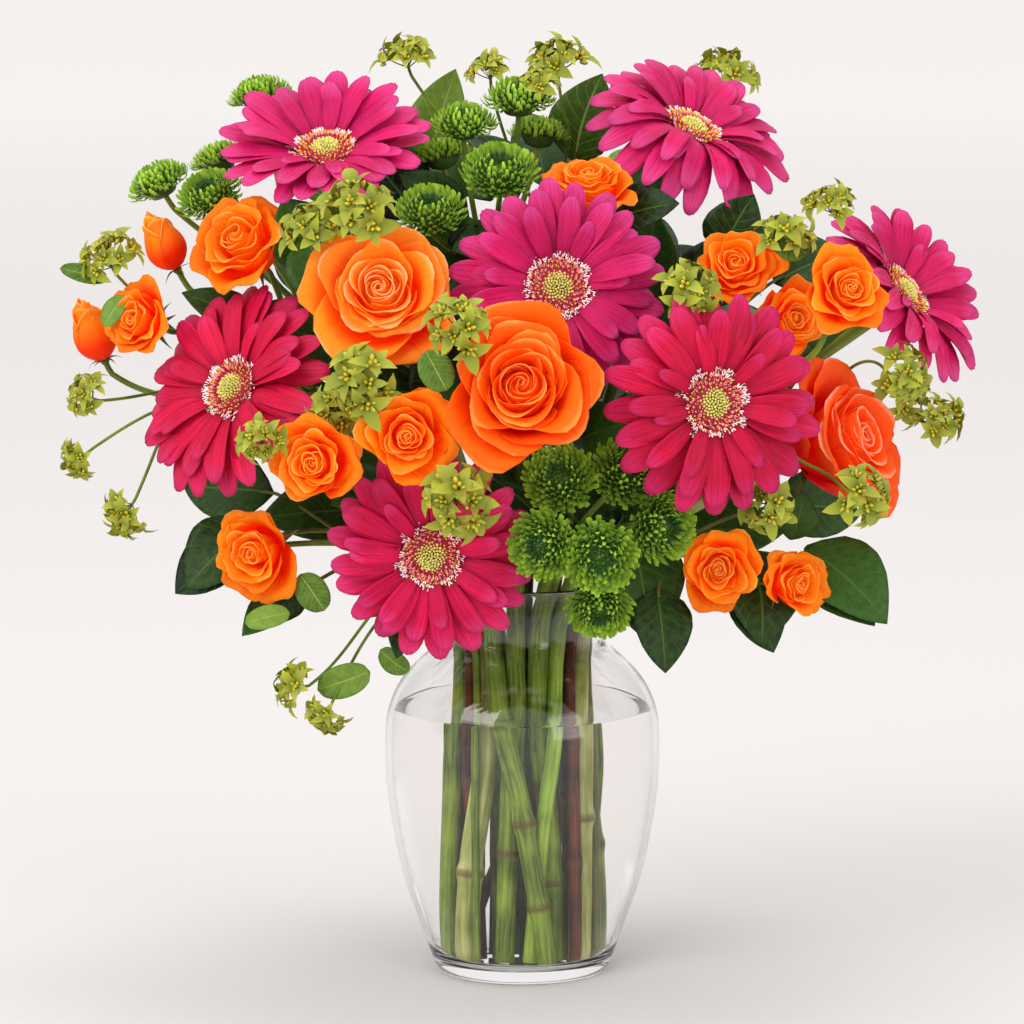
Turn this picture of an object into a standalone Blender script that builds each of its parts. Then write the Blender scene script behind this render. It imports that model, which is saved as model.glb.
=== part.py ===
"""A mixed bouquet of gerberas, roses, button mums and greenery standing in a clear glass vase.

Metres, +Z up. The origin is the middle of the vase's underside, and the bouquet's front faces -Y.
Every plant is a stem that stands in the water, passes the vase's neck and ends in its blooms or leaves.
The stems are laid out as smooth routes first, then they push each other aside until none touches,
which is how a bunch of stems settles in a narrow neck.
"""

import math

import bmesh
import bpy
import numpy as np
from mathutils import Matrix, Vector

GAP = 0.0004  # kept between neighbouring pieces
HEAD_GAP = 0.0012  # between a stem's end and the back of its bloom
CLEARANCE = 0.0012  # kept between routes, so that the faceted tubes stay GAP apart
LIP_ROOM = 0.0035  # kept above the lip by a stem that leans over it
LEAN_FROM = 0.034  # beyond this far from the axis, a stem above the vase keeps off the lip
WALL_CLEARANCE = 0.0022  # kept to the vase's faceted wall

# Vase, as (radius, height) of its outside from the base to the lip.
VASE_OUTSIDE = (
    (0.0400, 0.0000), (0.0435, 0.0030), (0.0475, 0.0130), (0.0535, 0.0300),
    (0.0600, 0.0490), (0.0645, 0.0700), (0.0680, 0.0920), (0.0690, 0.1150),
    (0.0675, 0.1330), (0.0610, 0.1480), (0.0500, 0.1600), (0.0410, 0.1680),
    (0.0395, 0.1760), (0.0420, 0.1860), (0.0490, 0.1970),
)
VASE_WALL = 0.0030
VASE_FLOOR = 0.0070
VASE_SPACING = 0.0140  # about how far apart the profile's points stand
VASE_STEPS = 20
WATER_LEVEL = 0.134
WATER_STEPS = 16

STEM_FOOT = 0.0095  # height of the stems' cut ends
NECK = 0.168  # height of the narrowest place, where the stems cross
FREE_CHANNEL = (0.0, 0.0235, 0.0072)  # x, y and radius of the space at the back that takes one more stem

# Gerberas: centre of the petal ring, the way it faces, petal radius, foot and neck places, stem radius.
GERBERAS = (
    ((-0.097, -0.020, 0.415), (-0.07, -0.46, 0.88), 0.053, (-0.0100, -0.0080), (-0.0110, 0.0080), 0.0036),
    ((-0.141, -0.060, 0.302), (-0.61, -0.67, 0.43), 0.056, (-0.0355, -0.0060), (-0.0290, -0.0090), 0.0040),
    ((0.017, -0.090, 0.355), (0.00, -0.96, 0.29), 0.053, (0.0060, 0.0140), (0.0000, -0.0130), 0.0038),
    ((0.091, -0.125, 0.303), (0.25, -0.96, 0.13), 0.054, (0.0040, -0.0225), (0.0165, -0.0262), 0.0034),
    ((0.084, 0.010, 0.423), (0.42, -0.30, 0.85), 0.054, (-0.0020, 0.0280), (0.0100, 0.0070), 0.0036),
    ((0.190, 0.015, 0.341), (0.73, -0.27, 0.62), 0.052, (0.0355, 0.0040), (0.0290, 0.0068), 0.0036),
    ((-0.044, -0.106, 0.227), (-0.10, -0.98, -0.16), 0.052, (0.0135, -0.0335), (-0.0145, -0.0262), 0.0044),
)

# Roses: centre of the open cup, the way it faces, radius, foot and neck places, stem radius.
ROSES = (
    ((-0.068, -0.110, 0.357), (-0.10, -0.90, 0.43), 0.038, (-0.0285, -0.0195), (-0.0150, -0.0125), 0.0052),
    ((-0.001, -0.152, 0.314), (0.00, -0.95, 0.28), 0.038, (-0.0085, -0.0205), (-0.0040, -0.0295), 0.0042),
    ((0.163, -0.050, 0.276), (0.75, -0.56, 0.33), 0.038, (0.0265, -0.0145), (0.0275, -0.0127), 0.0050),
)

# Spray roses: fork, foot and neck places, stem radius, then each bloom's centre, facing and radius.
SPRAY_ROSES = (
    ((-0.104, -0.010, 0.296), (-0.0200, 0.0120), (-0.0195, 0.0020), 0.0030, (
        ((-0.138, -0.040, 0.372), (-0.45, -0.70, 0.55), 0.023),
        ((-0.177, -0.005, 0.366), (-0.45, -0.08, 0.87), 0.014),
        ((-0.213, 0.000, 0.321), (-0.35, -0.20, 0.90), 0.015),
        ((-0.191, -0.036, 0.334), (-0.60, -0.73, 0.31), 0.020),
    )),
    ((-0.062, -0.058, 0.232), (-0.0195, -0.0080), (-0.0255, -0.0172), 0.0030, (
        ((-0.100, -0.130, 0.275), (-0.15, -0.97, 0.14), 0.023),
        ((-0.055, -0.140, 0.289), (0.00, -0.99, 0.04), 0.0245),
        ((-0.132, -0.070, 0.222), (-0.40, -0.91, -0.02), 0.024),
    )),
    ((0.048, -0.030, 0.315), (0.0160, 0.0100), (0.0110, -0.0100), 0.0028, (
        ((0.032, -0.040, 0.404), (0.00, -0.48, 0.88), 0.023),
        ((0.104, -0.060, 0.364), (-0.10, -0.87, 0.48), 0.0205),
    )),
    ((0.118, -0.060, 0.290), (0.0220, 0.0200), (0.0190, -0.0030), 0.0028, (
        ((0.133, -0.056, 0.336), (0.35, -0.91, 0.23), 0.0205),
        ((0.158, -0.098, 0.356), (0.30, -0.88, 0.38), 0.0215),
    )),
    ((0.070, -0.040, 0.228), (0.0260, -0.0235), (0.0225, -0.0210), 0.0028, (
        ((0.095, -0.088, 0.217), (0.00, -0.99, 0.04), 0.0215),
        ((0.135, -0.070, 0.207), (0.60, -0.80, 0.06), 0.0190),
    )),
)

# Button mums, laid out as the spray roses are.
MUM_SPRAYS = (
    ((-0.108, 0.030, 0.330), (-0.0310, 0.0100), (-0.0265, 0.0140), 0.0030, (
        ((-0.180, 0.010, 0.395), (-0.45, -0.20, 0.87), 0.0150),
        ((-0.154, -0.010, 0.391), (-0.30, -0.60, 0.74), 0.0155),
        ((-0.131, 0.042, 0.436), (-0.20, -0.10, 0.97), 0.0150),
        ((-0.152, 0.040, 0.404), (-0.30, 0.10, 0.95), 0.0140),
    )),
    ((-0.016, 0.006, 0.345), (0.0020, -0.0060), (-0.0020, -0.0020), 0.0030, (
        ((-0.045, -0.056, 0.387), (0.00, -0.60, 0.80), 0.0160),
        ((-0.029, -0.010, 0.426), (0.00, -0.30, 0.95), 0.0150),
        ((-0.002, 0.000, 0.437), (0.00, -0.25, 0.97), 0.0160),
        ((-0.011, -0.045, 0.405), (0.00, -0.60, 0.80), 0.0175),
        ((0.008, 0.028, 0.418), (0.10, 0.10, 0.99), 0.0140),
        ((-0.040, 0.030, 0.407), (-0.20, 0.10, 0.97), 0.0140),
    )),
    ((0.024, -0.060, 0.236), (0.0160, -0.0120), (0.0070, -0.0290), 0.0046, (
        ((0.018, -0.112, 0.264), (-0.10, -0.90, 0.40), 0.0165),
        ((0.049, -0.105, 0.266), (0.20, -0.85, 0.45), 0.0165),
        ((0.066, -0.106, 0.241), (0.50, -0.85, 0.00), 0.0165),
        ((0.010, -0.131, 0.236), (-0.30, -0.95, 0.00), 0.0160),
        ((0.037, -0.134, 0.231), (0.00, -1.00, -0.05), 0.0170),
        ((0.037, -0.112, 0.203), (0.00, -0.90, -0.40), 0.0150),
    )),
)

# Bupleurum: fork, foot and neck places, stem radius, then each umbel's centre, facing and radius.
BUPLEURUM = (
    ((-0.150, 0.012, 0.300), (-0.0340, 0.0030), (-0.0310, 0.0040), 0.0018, (
        ((-0.205, -0.018, 0.362), (-0.30, -0.50, 0.80), 0.0105),
        ((-0.215, -0.036, 0.296), (-0.60, -0.50, 0.40), 0.0080),
        ((-0.218, -0.046, 0.266), (-0.70, -0.30, -0.50), 0.0075),
        ((-0.195, -0.052, 0.240), (-0.50, -0.40, -0.60), 0.0100),
    )),
    ((-0.052, -0.036, 0.208), (-0.0220, -0.0270), (-0.0223, -0.0231), 0.0018, (
        ((-0.112, -0.066, 0.156), (-0.80, -0.40, 0.20), 0.0090),
        ((-0.096, -0.070, 0.142), (-0.30, -0.60, -0.70), 0.0080),
    )),
    ((0.140, 0.000, 0.292), (0.0320, 0.0140), (0.0320, 0.0000), 0.0018, (
        ((0.206, -0.034, 0.284), (0.60, -0.60, 0.40), 0.0095),
        ((0.186, -0.078, 0.312), (0.50, -0.80, 0.30), 0.0095),
        ((0.163, -0.116, 0.256), (0.50, -0.80, 0.00), 0.0110),
    )),
    ((0.020, 0.036, 0.350), (0.0040, 0.0340), (0.0010, 0.0090), 0.0018, (
        ((-0.058, 0.020, 0.459), (-0.20, -0.20, 0.96), 0.0100),
        ((-0.016, 0.024, 0.452), (0.00, -0.20, 0.98), 0.0080),
        ((0.018, 0.024, 0.457), (0.00, -0.20, 0.98), 0.0105),
        ((0.103, 0.074, 0.447), (0.10, -0.20, 0.97), 0.0110),
    )),
)

# Leafy branches: fork, foot and neck places, stem radius, then each leaf's base, tip and half width.
LEAF_BRANCHES = (
    ((-0.060, 0.024, 0.340), (-0.0120, 0.0220), (-0.0115, 0.0165), 0.0022, (
        ((-0.049, 0.044, 0.402), (-0.034, 0.036, 0.452), 0.0160),
        ((-0.093, 0.050, 0.380), (-0.105, 0.086, 0.420), 0.0170),
        ((-0.070, 0.078, 0.352), (-0.090, 0.124, 0.372), 0.0170),
    )),
    ((0.040, 0.044, 0.340), (0.0120, 0.0240), (0.0155, 0.0155), 0.0022, (
        ((0.026, 0.048, 0.404), (0.040, 0.046, 0.449), 0.0170),
        ((0.052, 0.078, 0.388), (0.072, 0.116, 0.408), 0.0170),
        ((0.006, 0.084, 0.360), (-0.004, 0.132, 0.376), 0.0170),
    )),
    ((0.092, 0.022, 0.320), (-0.0260, 0.0240), (0.0270, 0.0145), 0.0022, (
        ((0.098, -0.016, 0.362), (0.114, -0.022, 0.394), 0.0150),
        ((0.128, 0.052, 0.344), (0.166, 0.082, 0.356), 0.0170),
        ((0.098, 0.080, 0.322), (0.124, 0.126, 0.322), 0.0180),
    )),
    ((0.084, -0.006, 0.222), (0.0340, -0.0080), (0.0315, -0.0055), 0.0022, (
        ((0.066, -0.072, 0.206), (0.070, -0.086, 0.166), 0.0150),
        ((0.108, -0.052, 0.206), (0.124, -0.060, 0.172), 0.0150),
        ((0.140, -0.034, 0.212), (0.174, -0.050, 0.184), 0.0160),
        ((0.126, 0.024, 0.232), (0.172, 0.042, 0.226), 0.0180),
    )),
    ((-0.086, -0.010, 0.224), (-0.0300, 0.0180), (-0.0310, -0.0020), 0.0022, (
        ((-0.142, -0.028, 0.218), (-0.172, -0.038, 0.198), 0.0150),
        ((-0.126, 0.022, 0.240), (-0.172, 0.042, 0.240), 0.0180),
        ((-0.110, -0.024, 0.196), (-0.138, -0.052, 0.180), 0.0120),
    )),
    ((-0.050, 0.076, 0.250), (-0.0200, 0.0280), (-0.0200, 0.0235), 0.0022, (
        ((-0.096, 0.084, 0.292), (-0.142, 0.096, 0.312), 0.0180),
        ((-0.078, 0.112, 0.246), (-0.112, 0.148, 0.240), 0.0180),
        ((-0.030, 0.118, 0.268), (-0.034, 0.166, 0.274), 0.0180),
    )),
    ((0.050, 0.076, 0.250), (0.0120, 0.0335), (0.0215, 0.0215), 0.0022, (
        ((0.094, 0.086, 0.272), (0.140, 0.100, 0.278), 0.0180),
        ((0.072, 0.112, 0.228), (0.104, 0.146, 0.214), 0.0180),
        ((0.028, 0.120, 0.284), (0.034, 0.166, 0.300), 0.0180),
    )),
)

GERBERA_PETALS = 13
GERBERA_BACK = 0.013  # depth of the green cup behind the petals
NOTCH = 0.86  # radius between two petals, as a part of the radius at their tips
# From a bloom's centre back to its stem's end, as a part of its radius.
ROSE_DEPTH, MUM_DEPTH, UMBEL_DEPTH = 0.95, 0.30, 0.10
ROSE_STEPS, SPRAY_STEPS, MUM_STEPS, UMBEL_STEPS = 12, 8, 8, 6  # faces round each kind of bloom
STEM_SIDES, TWIG_SIDES = 6, 4
LEAF_THICKNESS = 0.0010
LEAF_FOLD = 0.22  # how far a leaf's edges stand above its midrib, as a part of its half width
BRANCH_RADIUS = {"spray_rose": 0.0017, "mum_spray": 0.0016, "bupleurum": 0.0009, "leaf_branch": 0.0011}

# Settling the routes.
STEP = 0.005  # spacing of a route's points
STRAY = 0.0006  # how far a finished stem may stray from its route
STEM_RUN = 0.050  # longest straight run of a finished stem
ROUNDS = 220
STIFFNESS = 0.22
CLOSE_BY = 0.010  # routes this much nearer than their clearance are looked at again
SAME_PLANT = 0.016  # a plant's own branches may come this near each other
LONGEST_PUSH = 0.0025
MEMORY = 0.006  # pull of a route towards where it was laid

GREEN = (0.22, 0.36, 0.08)
PALE_GREEN = (0.46, 0.52, 0.16)
DARK_GREEN = (0.03, 0.10, 0.03)
PINK = (0.70, 0.01, 0.12)
ORANGE = (1.0, 0.26, 0.01)
LIME = (0.38, 0.42, 0.06)


# ---------------------------------------------------------------- scene and materials

def clear_scene():
    for obj in list(bpy.data.objects):
        bpy.data.objects.remove(obj, do_unlink=True)
    for collection in list(bpy.data.collections):
        bpy.data.collections.remove(collection)


def new_collection(name):
    collection = bpy.data.collections.new(name)
    bpy.context.scene.collection.children.link(collection)
    return collection


def finish(obj, colour, roughness=0.5, transmission=0.0):
    material = bpy.data.materials.new(obj.name)
    material.use_nodes = True
    shader = material.node_tree.nodes["Principled BSDF"]
    shader.inputs["Base Color"].default_value = (*colour, 1.0)
    shader.inputs["Roughness"].default_value = roughness
    shader.inputs["Metallic"].default_value = 0.0
    shader.inputs["Transmission Weight"].default_value = transmission
    obj.data.materials.clear()
    obj.data.materials.append(material)
    obj.color = (*colour, 1.0)


# ---------------------------------------------------------------- profiles and routes

def smooth_line(points, spacing):
    """Points of a Catmull-Rom curve through the given ones, about a spacing apart."""
    given = np.array(points, float)
    padded = np.vstack([2 * given[0] - given[1], given, 2 * given[-1] - given[-2]])
    out = [given[0]]
    for i in range(len(given) - 1):
        a, b, c, d = padded[i : i + 4]
        parts = max(1, round(float(np.linalg.norm(c - b)) / spacing))
        for k in range(1, parts + 1):
            t = k / parts
            square, cube = 2 * a - 5 * b + 4 * c - d, 3 * b - a - 3 * c + d
            out.append(0.5 * (2 * b + (c - a) * t + square * t**2 + cube * t**3))
    return np.array(out)


OUTSIDE = smooth_line(VASE_OUTSIDE, VASE_SPACING)


def outside_radius(height):
    return np.interp(height, OUTSIDE[:, 1], OUTSIDE[:, 0])


def inside_radius(height):
    return outside_radius(height) - VASE_WALL


def bezier(a, b, c, d, spacing):
    length = np.linalg.norm(b - a) + np.linalg.norm(c - b) + np.linalg.norm(d - c)
    t = np.linspace(0.0, 1.0, max(4, round(length / spacing)) + 1)[:, None]
    return a * (1 - t) ** 3 + 3 * b * t * (1 - t) ** 2 + 3 * c * t**2 * (1 - t) + d * t**3


def unit(v):
    v = np.array(v, float)
    return v / np.linalg.norm(v)


def stem_route(foot, neck, end, arriving):
    """From the cut end straight to the neck, then one bend to the end, arriving along the given direction."""
    low = np.array([*foot, STEM_FOOT])
    mid = np.array([*neck, NECK])
    end = np.array(end, float)
    parts = round(float(np.linalg.norm(mid - low)) / STEP)
    lower = low + (mid - low) * np.linspace(0.0, 1.0, parts + 1)[:, None]
    reach = np.linalg.norm(end - mid)
    nodding = min(1.0, max(0.0, (0.300 - end[2]) / 0.090))
    leaving = unit(0.55 * unit(mid - low) + 0.30 * unit(end - mid) + np.array([0, 0, 0.45 + 0.5 * nodding]))
    upper = bezier(mid, mid + leaving * 0.42 * reach, end - unit(arriving) * 0.36 * reach, end, STEP)
    return np.vstack([lower, upper[1:]])


def branch_route(start, leaving, end, arriving):
    reach = np.linalg.norm(np.array(end) - start)
    first = start + unit(leaving) * 0.38 * reach
    second = end - unit(arriving) * 0.34 * reach
    return bezier(start, first, second, np.array(end, float), STEP)


# ---------------------------------------------------------------- the plants

def head_end(centre, facing, depth):
    return np.array(centre) - unit(facing) * depth


def gerbera_guard(centre, facing, radius):
    """Spheres that fill a gerbera's disc, for the routes to stay clear of."""
    normal = unit(facing)
    side = unit(np.cross(normal, (0.0, 0.3, 1.0)))
    up = np.cross(normal, side)
    out = [(np.array(centre) - normal * 0.006, 0.013)]
    for ring, count in ((0.30, 7), (0.52, 11), (0.72, 15), (0.90, 19)):
        for k in range(count):
            angle = 2 * math.pi * k / count
            spoke = side * math.cos(angle) + up * math.sin(angle)
            out.append((np.array(centre) + spoke * radius * ring, 0.0072))
    return out


def rose_guard(centre, facing, radius):
    normal = unit(facing)
    return [
        (np.array(centre) + normal * radius * 0.02, radius * 0.97),
        (np.array(centre) - normal * radius * 0.45, radius * 0.72),
    ]


def leaf_direction(base, tip):
    return unit(np.array(tip) - np.array(base))


class Route:
    """A stem or branch: its points, radius, plant, and whether its first point is held by another route."""

    def __init__(self, name, points, radius, plant, held_start=False):
        self.name, self.points, self.radius, self.plant = name, points, radius, plant
        self.held_start = held_start


def main_routes():
    routes = []
    for kind, rows in (("gerbera", GERBERAS), ("rose", ROSES)):
        for n, (centre, facing, radius, foot, neck, thick) in enumerate(rows, 1):
            depth = GERBERA_BACK if kind == "gerbera" else ROSE_DEPTH * radius
            end = head_end(centre, facing, depth + HEAD_GAP)
            routes.append(Route(f"{kind}_{n}", stem_route(foot, neck, end, facing), thick, f"{kind}_{n}"))
    groups = (
        ("spray_rose", SPRAY_ROSES), ("mum_spray", MUM_SPRAYS),
        ("bupleurum", BUPLEURUM), ("leaf_branch", LEAF_BRANCHES),
    )
    for kind, rows in groups:
        for n, (fork, foot, neck, thick, _ends) in enumerate(rows, 1):
            outward = unit((fork[0], fork[1], 0.12 + fork[2] - NECK))
            routes.append(Route(f"{kind}_{n}", stem_route(foot, neck, fork, outward), thick, f"{kind}_{n}"))
    return routes


def twig_routes(settled):
    """The branches from each fork to its blooms, umbels or leaves."""
    ends_of = {}
    for kind, rows, depth in (
        ("spray_rose", SPRAY_ROSES, ROSE_DEPTH), ("mum_spray", MUM_SPRAYS, MUM_DEPTH),
        ("bupleurum", BUPLEURUM, UMBEL_DEPTH),
    ):
        for n, row in enumerate(rows, 1):
            ends_of[f"{kind}_{n}"] = [(head_end(c, f, depth * r), f) for c, f, r in row[4]]
    for n, row in enumerate(LEAF_BRANCHES, 1):
        ends_of[f"leaf_branch_{n}"] = [
            (np.array(base) + 0.12 * (np.array(tip) - np.array(base)), leaf_direction(base, tip))
            for base, tip, _ in row[4]
        ]
    out = []
    for route in settled:
        kind = route.plant.rsplit("_", 1)[0]
        for k, (end, facing) in enumerate(ends_of.get(route.plant, ()), 1):
            at = len(route.points) - 1 - 2 * ((k - 1) % 3)
            start = route.points[at]
            leaving = unit(route.points[at] - route.points[at - 3]) + 0.9 * unit(end - start)
            points = branch_route(start, leaving, end, facing)
            out.append(Route(f"{route.plant}_{k}", points, BRANCH_RADIUS[kind], route.plant, True))
    return out


def guards():
    """Every bloom as spheres: (centre, radius, the plant or route that may touch it)."""
    out = []
    for n, (centre, facing, radius, *_rest) in enumerate(GERBERAS, 1):
        out += [(c, r, f"gerbera_{n}") for c, r in gerbera_guard(centre, facing, radius)]
    for n, (centre, facing, radius, *_rest) in enumerate(ROSES, 1):
        out += [(c, r, f"rose_{n}") for c, r in rose_guard(centre, facing, radius)]
    for kind, rows in (("spray_rose", SPRAY_ROSES), ("mum_spray", MUM_SPRAYS), ("bupleurum", BUPLEURUM)):
        for n, row in enumerate(rows, 1):
            for k, (centre, facing, radius) in enumerate(row[4], 1):
                owner = f"{kind}_{n}_{k}" if kind == "spray_rose" else f"{kind}_{n}"
                if kind == "spray_rose":
                    out += [(c, r, owner) for c, r in rose_guard(centre, facing, radius)]
                else:
                    out.append((np.array(centre), radius, owner))
    for n, row in enumerate(LEAF_BRANCHES, 1):
        for base, tip, half in row[4]:
            for part in (0.25, 0.5, 0.75):
                centre = np.array(base) + part * (np.array(tip) - np.array(base))
                out.append((centre, half * 0.62, f"leaf_branch_{n}"))
    return out


def settle(moving, fixed, obstacles):
    """Pushes the moving routes off each other, the fixed ones and the obstacles, and keeps them smooth."""
    points = np.vstack([r.points for r in moving + fixed] + [np.array([o[0] for o in obstacles])])
    laid = points.copy()
    radius = np.concatenate(
        [np.full(len(r.points), r.radius) for r in moving + fixed] + [np.array([o[1] for o in obstacles])]
    )
    owners = {}
    names, plants, line = [], [], []
    for index, route in enumerate(moving + fixed):
        for _ in route.points:
            names.append(route.name)
            plants.append(route.plant)
            line.append(index)
    for _centre, _radius, owner in obstacles:
        names.append(owner)
        plants.append(owner)
        line.append(-1)
    for text in names + plants:
        owners.setdefault(text, len(owners))
    name_id = np.array([owners[t] for t in names])
    plant_id = np.array([owners[t] for t in plants])
    line = np.array(line)
    movable_count = sum(len(r.points) for r in moving)
    free = np.zeros(len(points))
    inner = np.zeros(len(points), bool)
    start = 0
    spans = []
    for route in moving:
        count = len(route.points)
        weight = np.ones(count)
        weight[-3:] = 0.0
        weight[0] = 0.0 if route.held_start else 1.0
        if route.held_start:
            weight[1] = 0.3
        free[start : start + count] = weight
        inner[start + 1 : start + count - 1] = True
        spans.append((start, count, route))
        start += count
    index = np.arange(len(points))
    for turn in range(ROUNDS):
        if turn % 8 == 0:
            a_all, b_all = [], []
            for begin in range(0, movable_count, 400):
                rows = index[begin : min(begin + 400, movable_count)]
                near = np.linalg.norm(points[rows][:, None] - points[None], axis=2)
                reach = radius[rows][:, None] + radius[None] + CLEARANCE + CLOSE_BY
                hit = near < reach
                hit &= rows[:, None] < index[None]
                hit &= name_id[rows][:, None] != name_id[None]
                hit &= line[rows][:, None] != line[None]
                same = plant_id[rows][:, None] == plant_id[None]
                hit &= ~(same & (near < SAME_PLANT))
                hit &= ~(same & (line[None] < 0))
                a, b = np.nonzero(hit)
                a_all.append(rows[a])
                b_all.append(b)
            a, b = np.concatenate(a_all), np.concatenate(b_all)
        away = points[a] - points[b]
        distance = np.maximum(np.linalg.norm(away, axis=1), 1e-6)
        short = np.maximum(radius[a] + radius[b] + CLEARANCE - distance, 0.0)
        total = np.maximum(free[a] + free[b], 1e-9)
        push = away / distance[:, None] * short[:, None] * 0.85
        moved = np.zeros_like(points)
        np.add.at(moved, a, push * (free[a] / total)[:, None])
        np.add.at(moved, b, -push * (free[b] / total)[:, None])
        longest = np.linalg.norm(moved, axis=1)
        moved *= np.minimum(1.0, LONGEST_PUSH / np.maximum(longest, 1e-9))[:, None]
        points += moved
        bend = np.zeros_like(points)
        middle = np.flatnonzero(inner)
        bend[middle] = (points[middle - 1] + points[middle + 1]) / 2 - points[middle]
        fade = 1.0 if turn < ROUNDS * 0.75 else 0.5
        points += bend * (STIFFNESS * fade * free)[:, None]
        points += (laid - points) * (MEMORY * free)[:, None]
        for begin, count, route in spans:
            keep_in_vase(points[begin : begin + count], route)
    for begin, count, route in spans:
        route.points = points[begin : begin + count].copy()


def keep_in_vase(points, route):
    """Holds a route inside the vase up to its lip, off the free channel, and above the lip outside it."""
    lip = OUTSIDE[-1, 1]
    heights = points[:, 2]
    across = np.hypot(points[:, 0], points[:, 1])
    within = np.zeros(len(points), bool)
    if not route.held_start:
        points[0, 2] = STEM_FOOT
        within = np.arange(len(points)) <= int(np.argmax(heights > lip))
        room = inside_radius(heights) - route.radius - WALL_CLEARANCE - np.where(heights < 0.016, 0.0040, 0.0)
        scale = np.where(within & (across > room), room / np.maximum(across, 1e-9), 1.0)
        points[:, :2] *= scale[:, None]
        x, y, channel = FREE_CHANNEL
        offset = points[:, :2] - np.array([x, y])
        apart = np.maximum(np.linalg.norm(offset, axis=1), 1e-6)
        need = channel + route.radius
        near = within & (heights > WATER_LEVEL - 0.01) & (apart < need)
        points[near, :2] += (offset / apart[:, None] * (need - apart)[:, None] * 0.6)[near]
    leaning = ~within & (across > LEAN_FROM) & (across < OUTSIDE[-1, 0] + 0.005)
    points[leaning, 2] = np.maximum(points[leaning, 2], lip + LIP_ROOM + route.radius)


def thinned(points, tolerance, longest):
    """The fewest points that stay within a tolerance of a settled route, no further apart than longest."""
    first, last = points[0], points[-1]
    along = last - first
    reach = np.linalg.norm(along)
    across = np.linalg.norm(np.cross(points - first, along), axis=1) / reach
    far = int(np.argmax(across))
    if len(points) < 3 or (across[far] < tolerance and reach < longest):
        return np.array([first, last])
    if across[far] < tolerance:
        far = len(points) // 2
    left = thinned(points[: far + 1], tolerance, longest)
    return np.vstack([left, thinned(points[far:], tolerance, longest)[1:]])


# ---------------------------------------------------------------- solids

def tube(name, points, radius, sides, collection, grow=0.0, stretch=0.0):
    """A round bar along the points, as one welded mesh object."""
    points = np.array(points, float)
    points[0] -= unit(points[1] - points[0]) * stretch
    points[-1] += unit(points[-1] - points[-2]) * stretch
    curve = bpy.data.curves.new(name, "CURVE")
    curve.dimensions = "3D"
    curve.bevel_depth = radius + grow
    curve.bevel_resolution = sides // 2 - 2
    curve.use_fill_caps = True
    curve.twist_mode = "MINIMUM"
    spline = curve.splines.new("POLY")
    spline.points.add(len(points) - 1)
    for target, (x, y, z) in zip(spline.points, points):
        target.co = (x, y, z, 1.0)
    holder = bpy.data.objects.new(name + "_line", curve)
    bpy.context.scene.collection.objects.link(holder)
    bpy.context.view_layer.update()
    graph = bpy.context.evaluated_depsgraph_get()
    mesh = bpy.data.meshes.new_from_object(holder.evaluated_get(graph))
    bpy.data.objects.remove(holder, do_unlink=True)
    weld(mesh)
    return place(name, mesh, collection)


def weld(mesh):
    work = bmesh.new()
    work.from_mesh(mesh)
    bmesh.ops.remove_doubles(work, verts=work.verts, dist=1e-6)
    bmesh.ops.recalc_face_normals(work, faces=work.faces)
    work.to_mesh(mesh)
    work.free()


def place(name, mesh, collection):
    mesh.name = name
    obj = bpy.data.objects.new(name, mesh)
    collection.objects.link(obj)
    return obj


def turned(name, profile, steps, collection):
    """A solid of revolution about Z. The profile runs down its outer side from top to bottom."""
    mesh = bpy.data.meshes.new(name)
    corners = [(r, 0.0, z) for r, z in profile]
    mesh.from_pydata(corners, [(i, i + 1) for i in range(len(corners) - 1)], [])
    obj = place(name, mesh, collection)
    screw = obj.modifiers.new("turn", "SCREW")
    screw.axis = "Z"
    screw.steps = screw.render_steps = steps
    screw.use_merge_vertices = True
    screw.merge_threshold = 1e-5
    return obj


def baked(obj):
    """The object's evaluated mesh in place of its modifiers."""
    bpy.context.view_layer.update()
    graph = bpy.context.evaluated_depsgraph_get()
    mesh = bpy.data.meshes.new_from_object(obj.evaluated_get(graph))
    obj.modifiers.clear()
    obj.data = mesh
    weld(mesh)
    return obj


def aim(obj, centre, facing):
    """Turns the object's +Z to the way it faces and moves it to its place."""
    turn = Vector(unit(facing)).to_track_quat("Z", "Y").to_matrix().to_4x4()
    obj.matrix_world = Matrix.Translation(Vector(centre)) @ turn


def applied(obj):
    obj.data.transform(obj.matrix_world)
    obj.matrix_world = Matrix.Identity(4)
    return obj


def gerbera_head(name, centre, facing, radius, collection):
    rise = 0.06 * radius
    profile = (
        (0.0, 0.0050), (0.30 * radius, 0.0042), (0.34 * radius, 0.0016), (radius, rise + 0.0012),
        (radius, rise - 0.0010), (0.34 * radius, -0.0016), (0.0075, -GERBERA_BACK), (0.0, -GERBERA_BACK),
    )
    obj = baked(turned(name, profile, 2 * GERBERA_PETALS, collection))
    for vertex in obj.data.vertices:
        if math.hypot(vertex.co.x, vertex.co.y) > 0.9 * radius:
            step = round(math.atan2(vertex.co.y, vertex.co.x) / math.pi * GERBERA_PETALS)
            if step % 2:
                vertex.co.x *= NOTCH
                vertex.co.y *= NOTCH
    aim(obj, centre, facing)
    return applied(obj)


def rose_head(name, centre, facing, radius, steps, collection):
    r = radius
    profile = (
        (0.0, 0.34 * r), (0.42 * r, 0.36 * r), (0.86 * r, 0.20 * r), (r, -0.04 * r),
        (0.88 * r, -0.36 * r), (0.52 * r, -0.72 * r), (0.20 * r, -0.95 * r), (0.0, -0.95 * r),
    )
    obj = turned(name, profile, steps, collection)
    aim(obj, centre, facing)
    return obj


def button_head(name, centre, facing, radius, steps, collection):
    r = radius
    profile = ((0.0, 0.60 * r), (0.62 * r, 0.46 * r), (r, 0.0), (0.66 * r, -0.42 * r), (0.0, -0.52 * r))
    obj = baked(turned(name, profile, steps, collection))
    aim(obj, centre, facing)
    return applied(obj)


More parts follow.
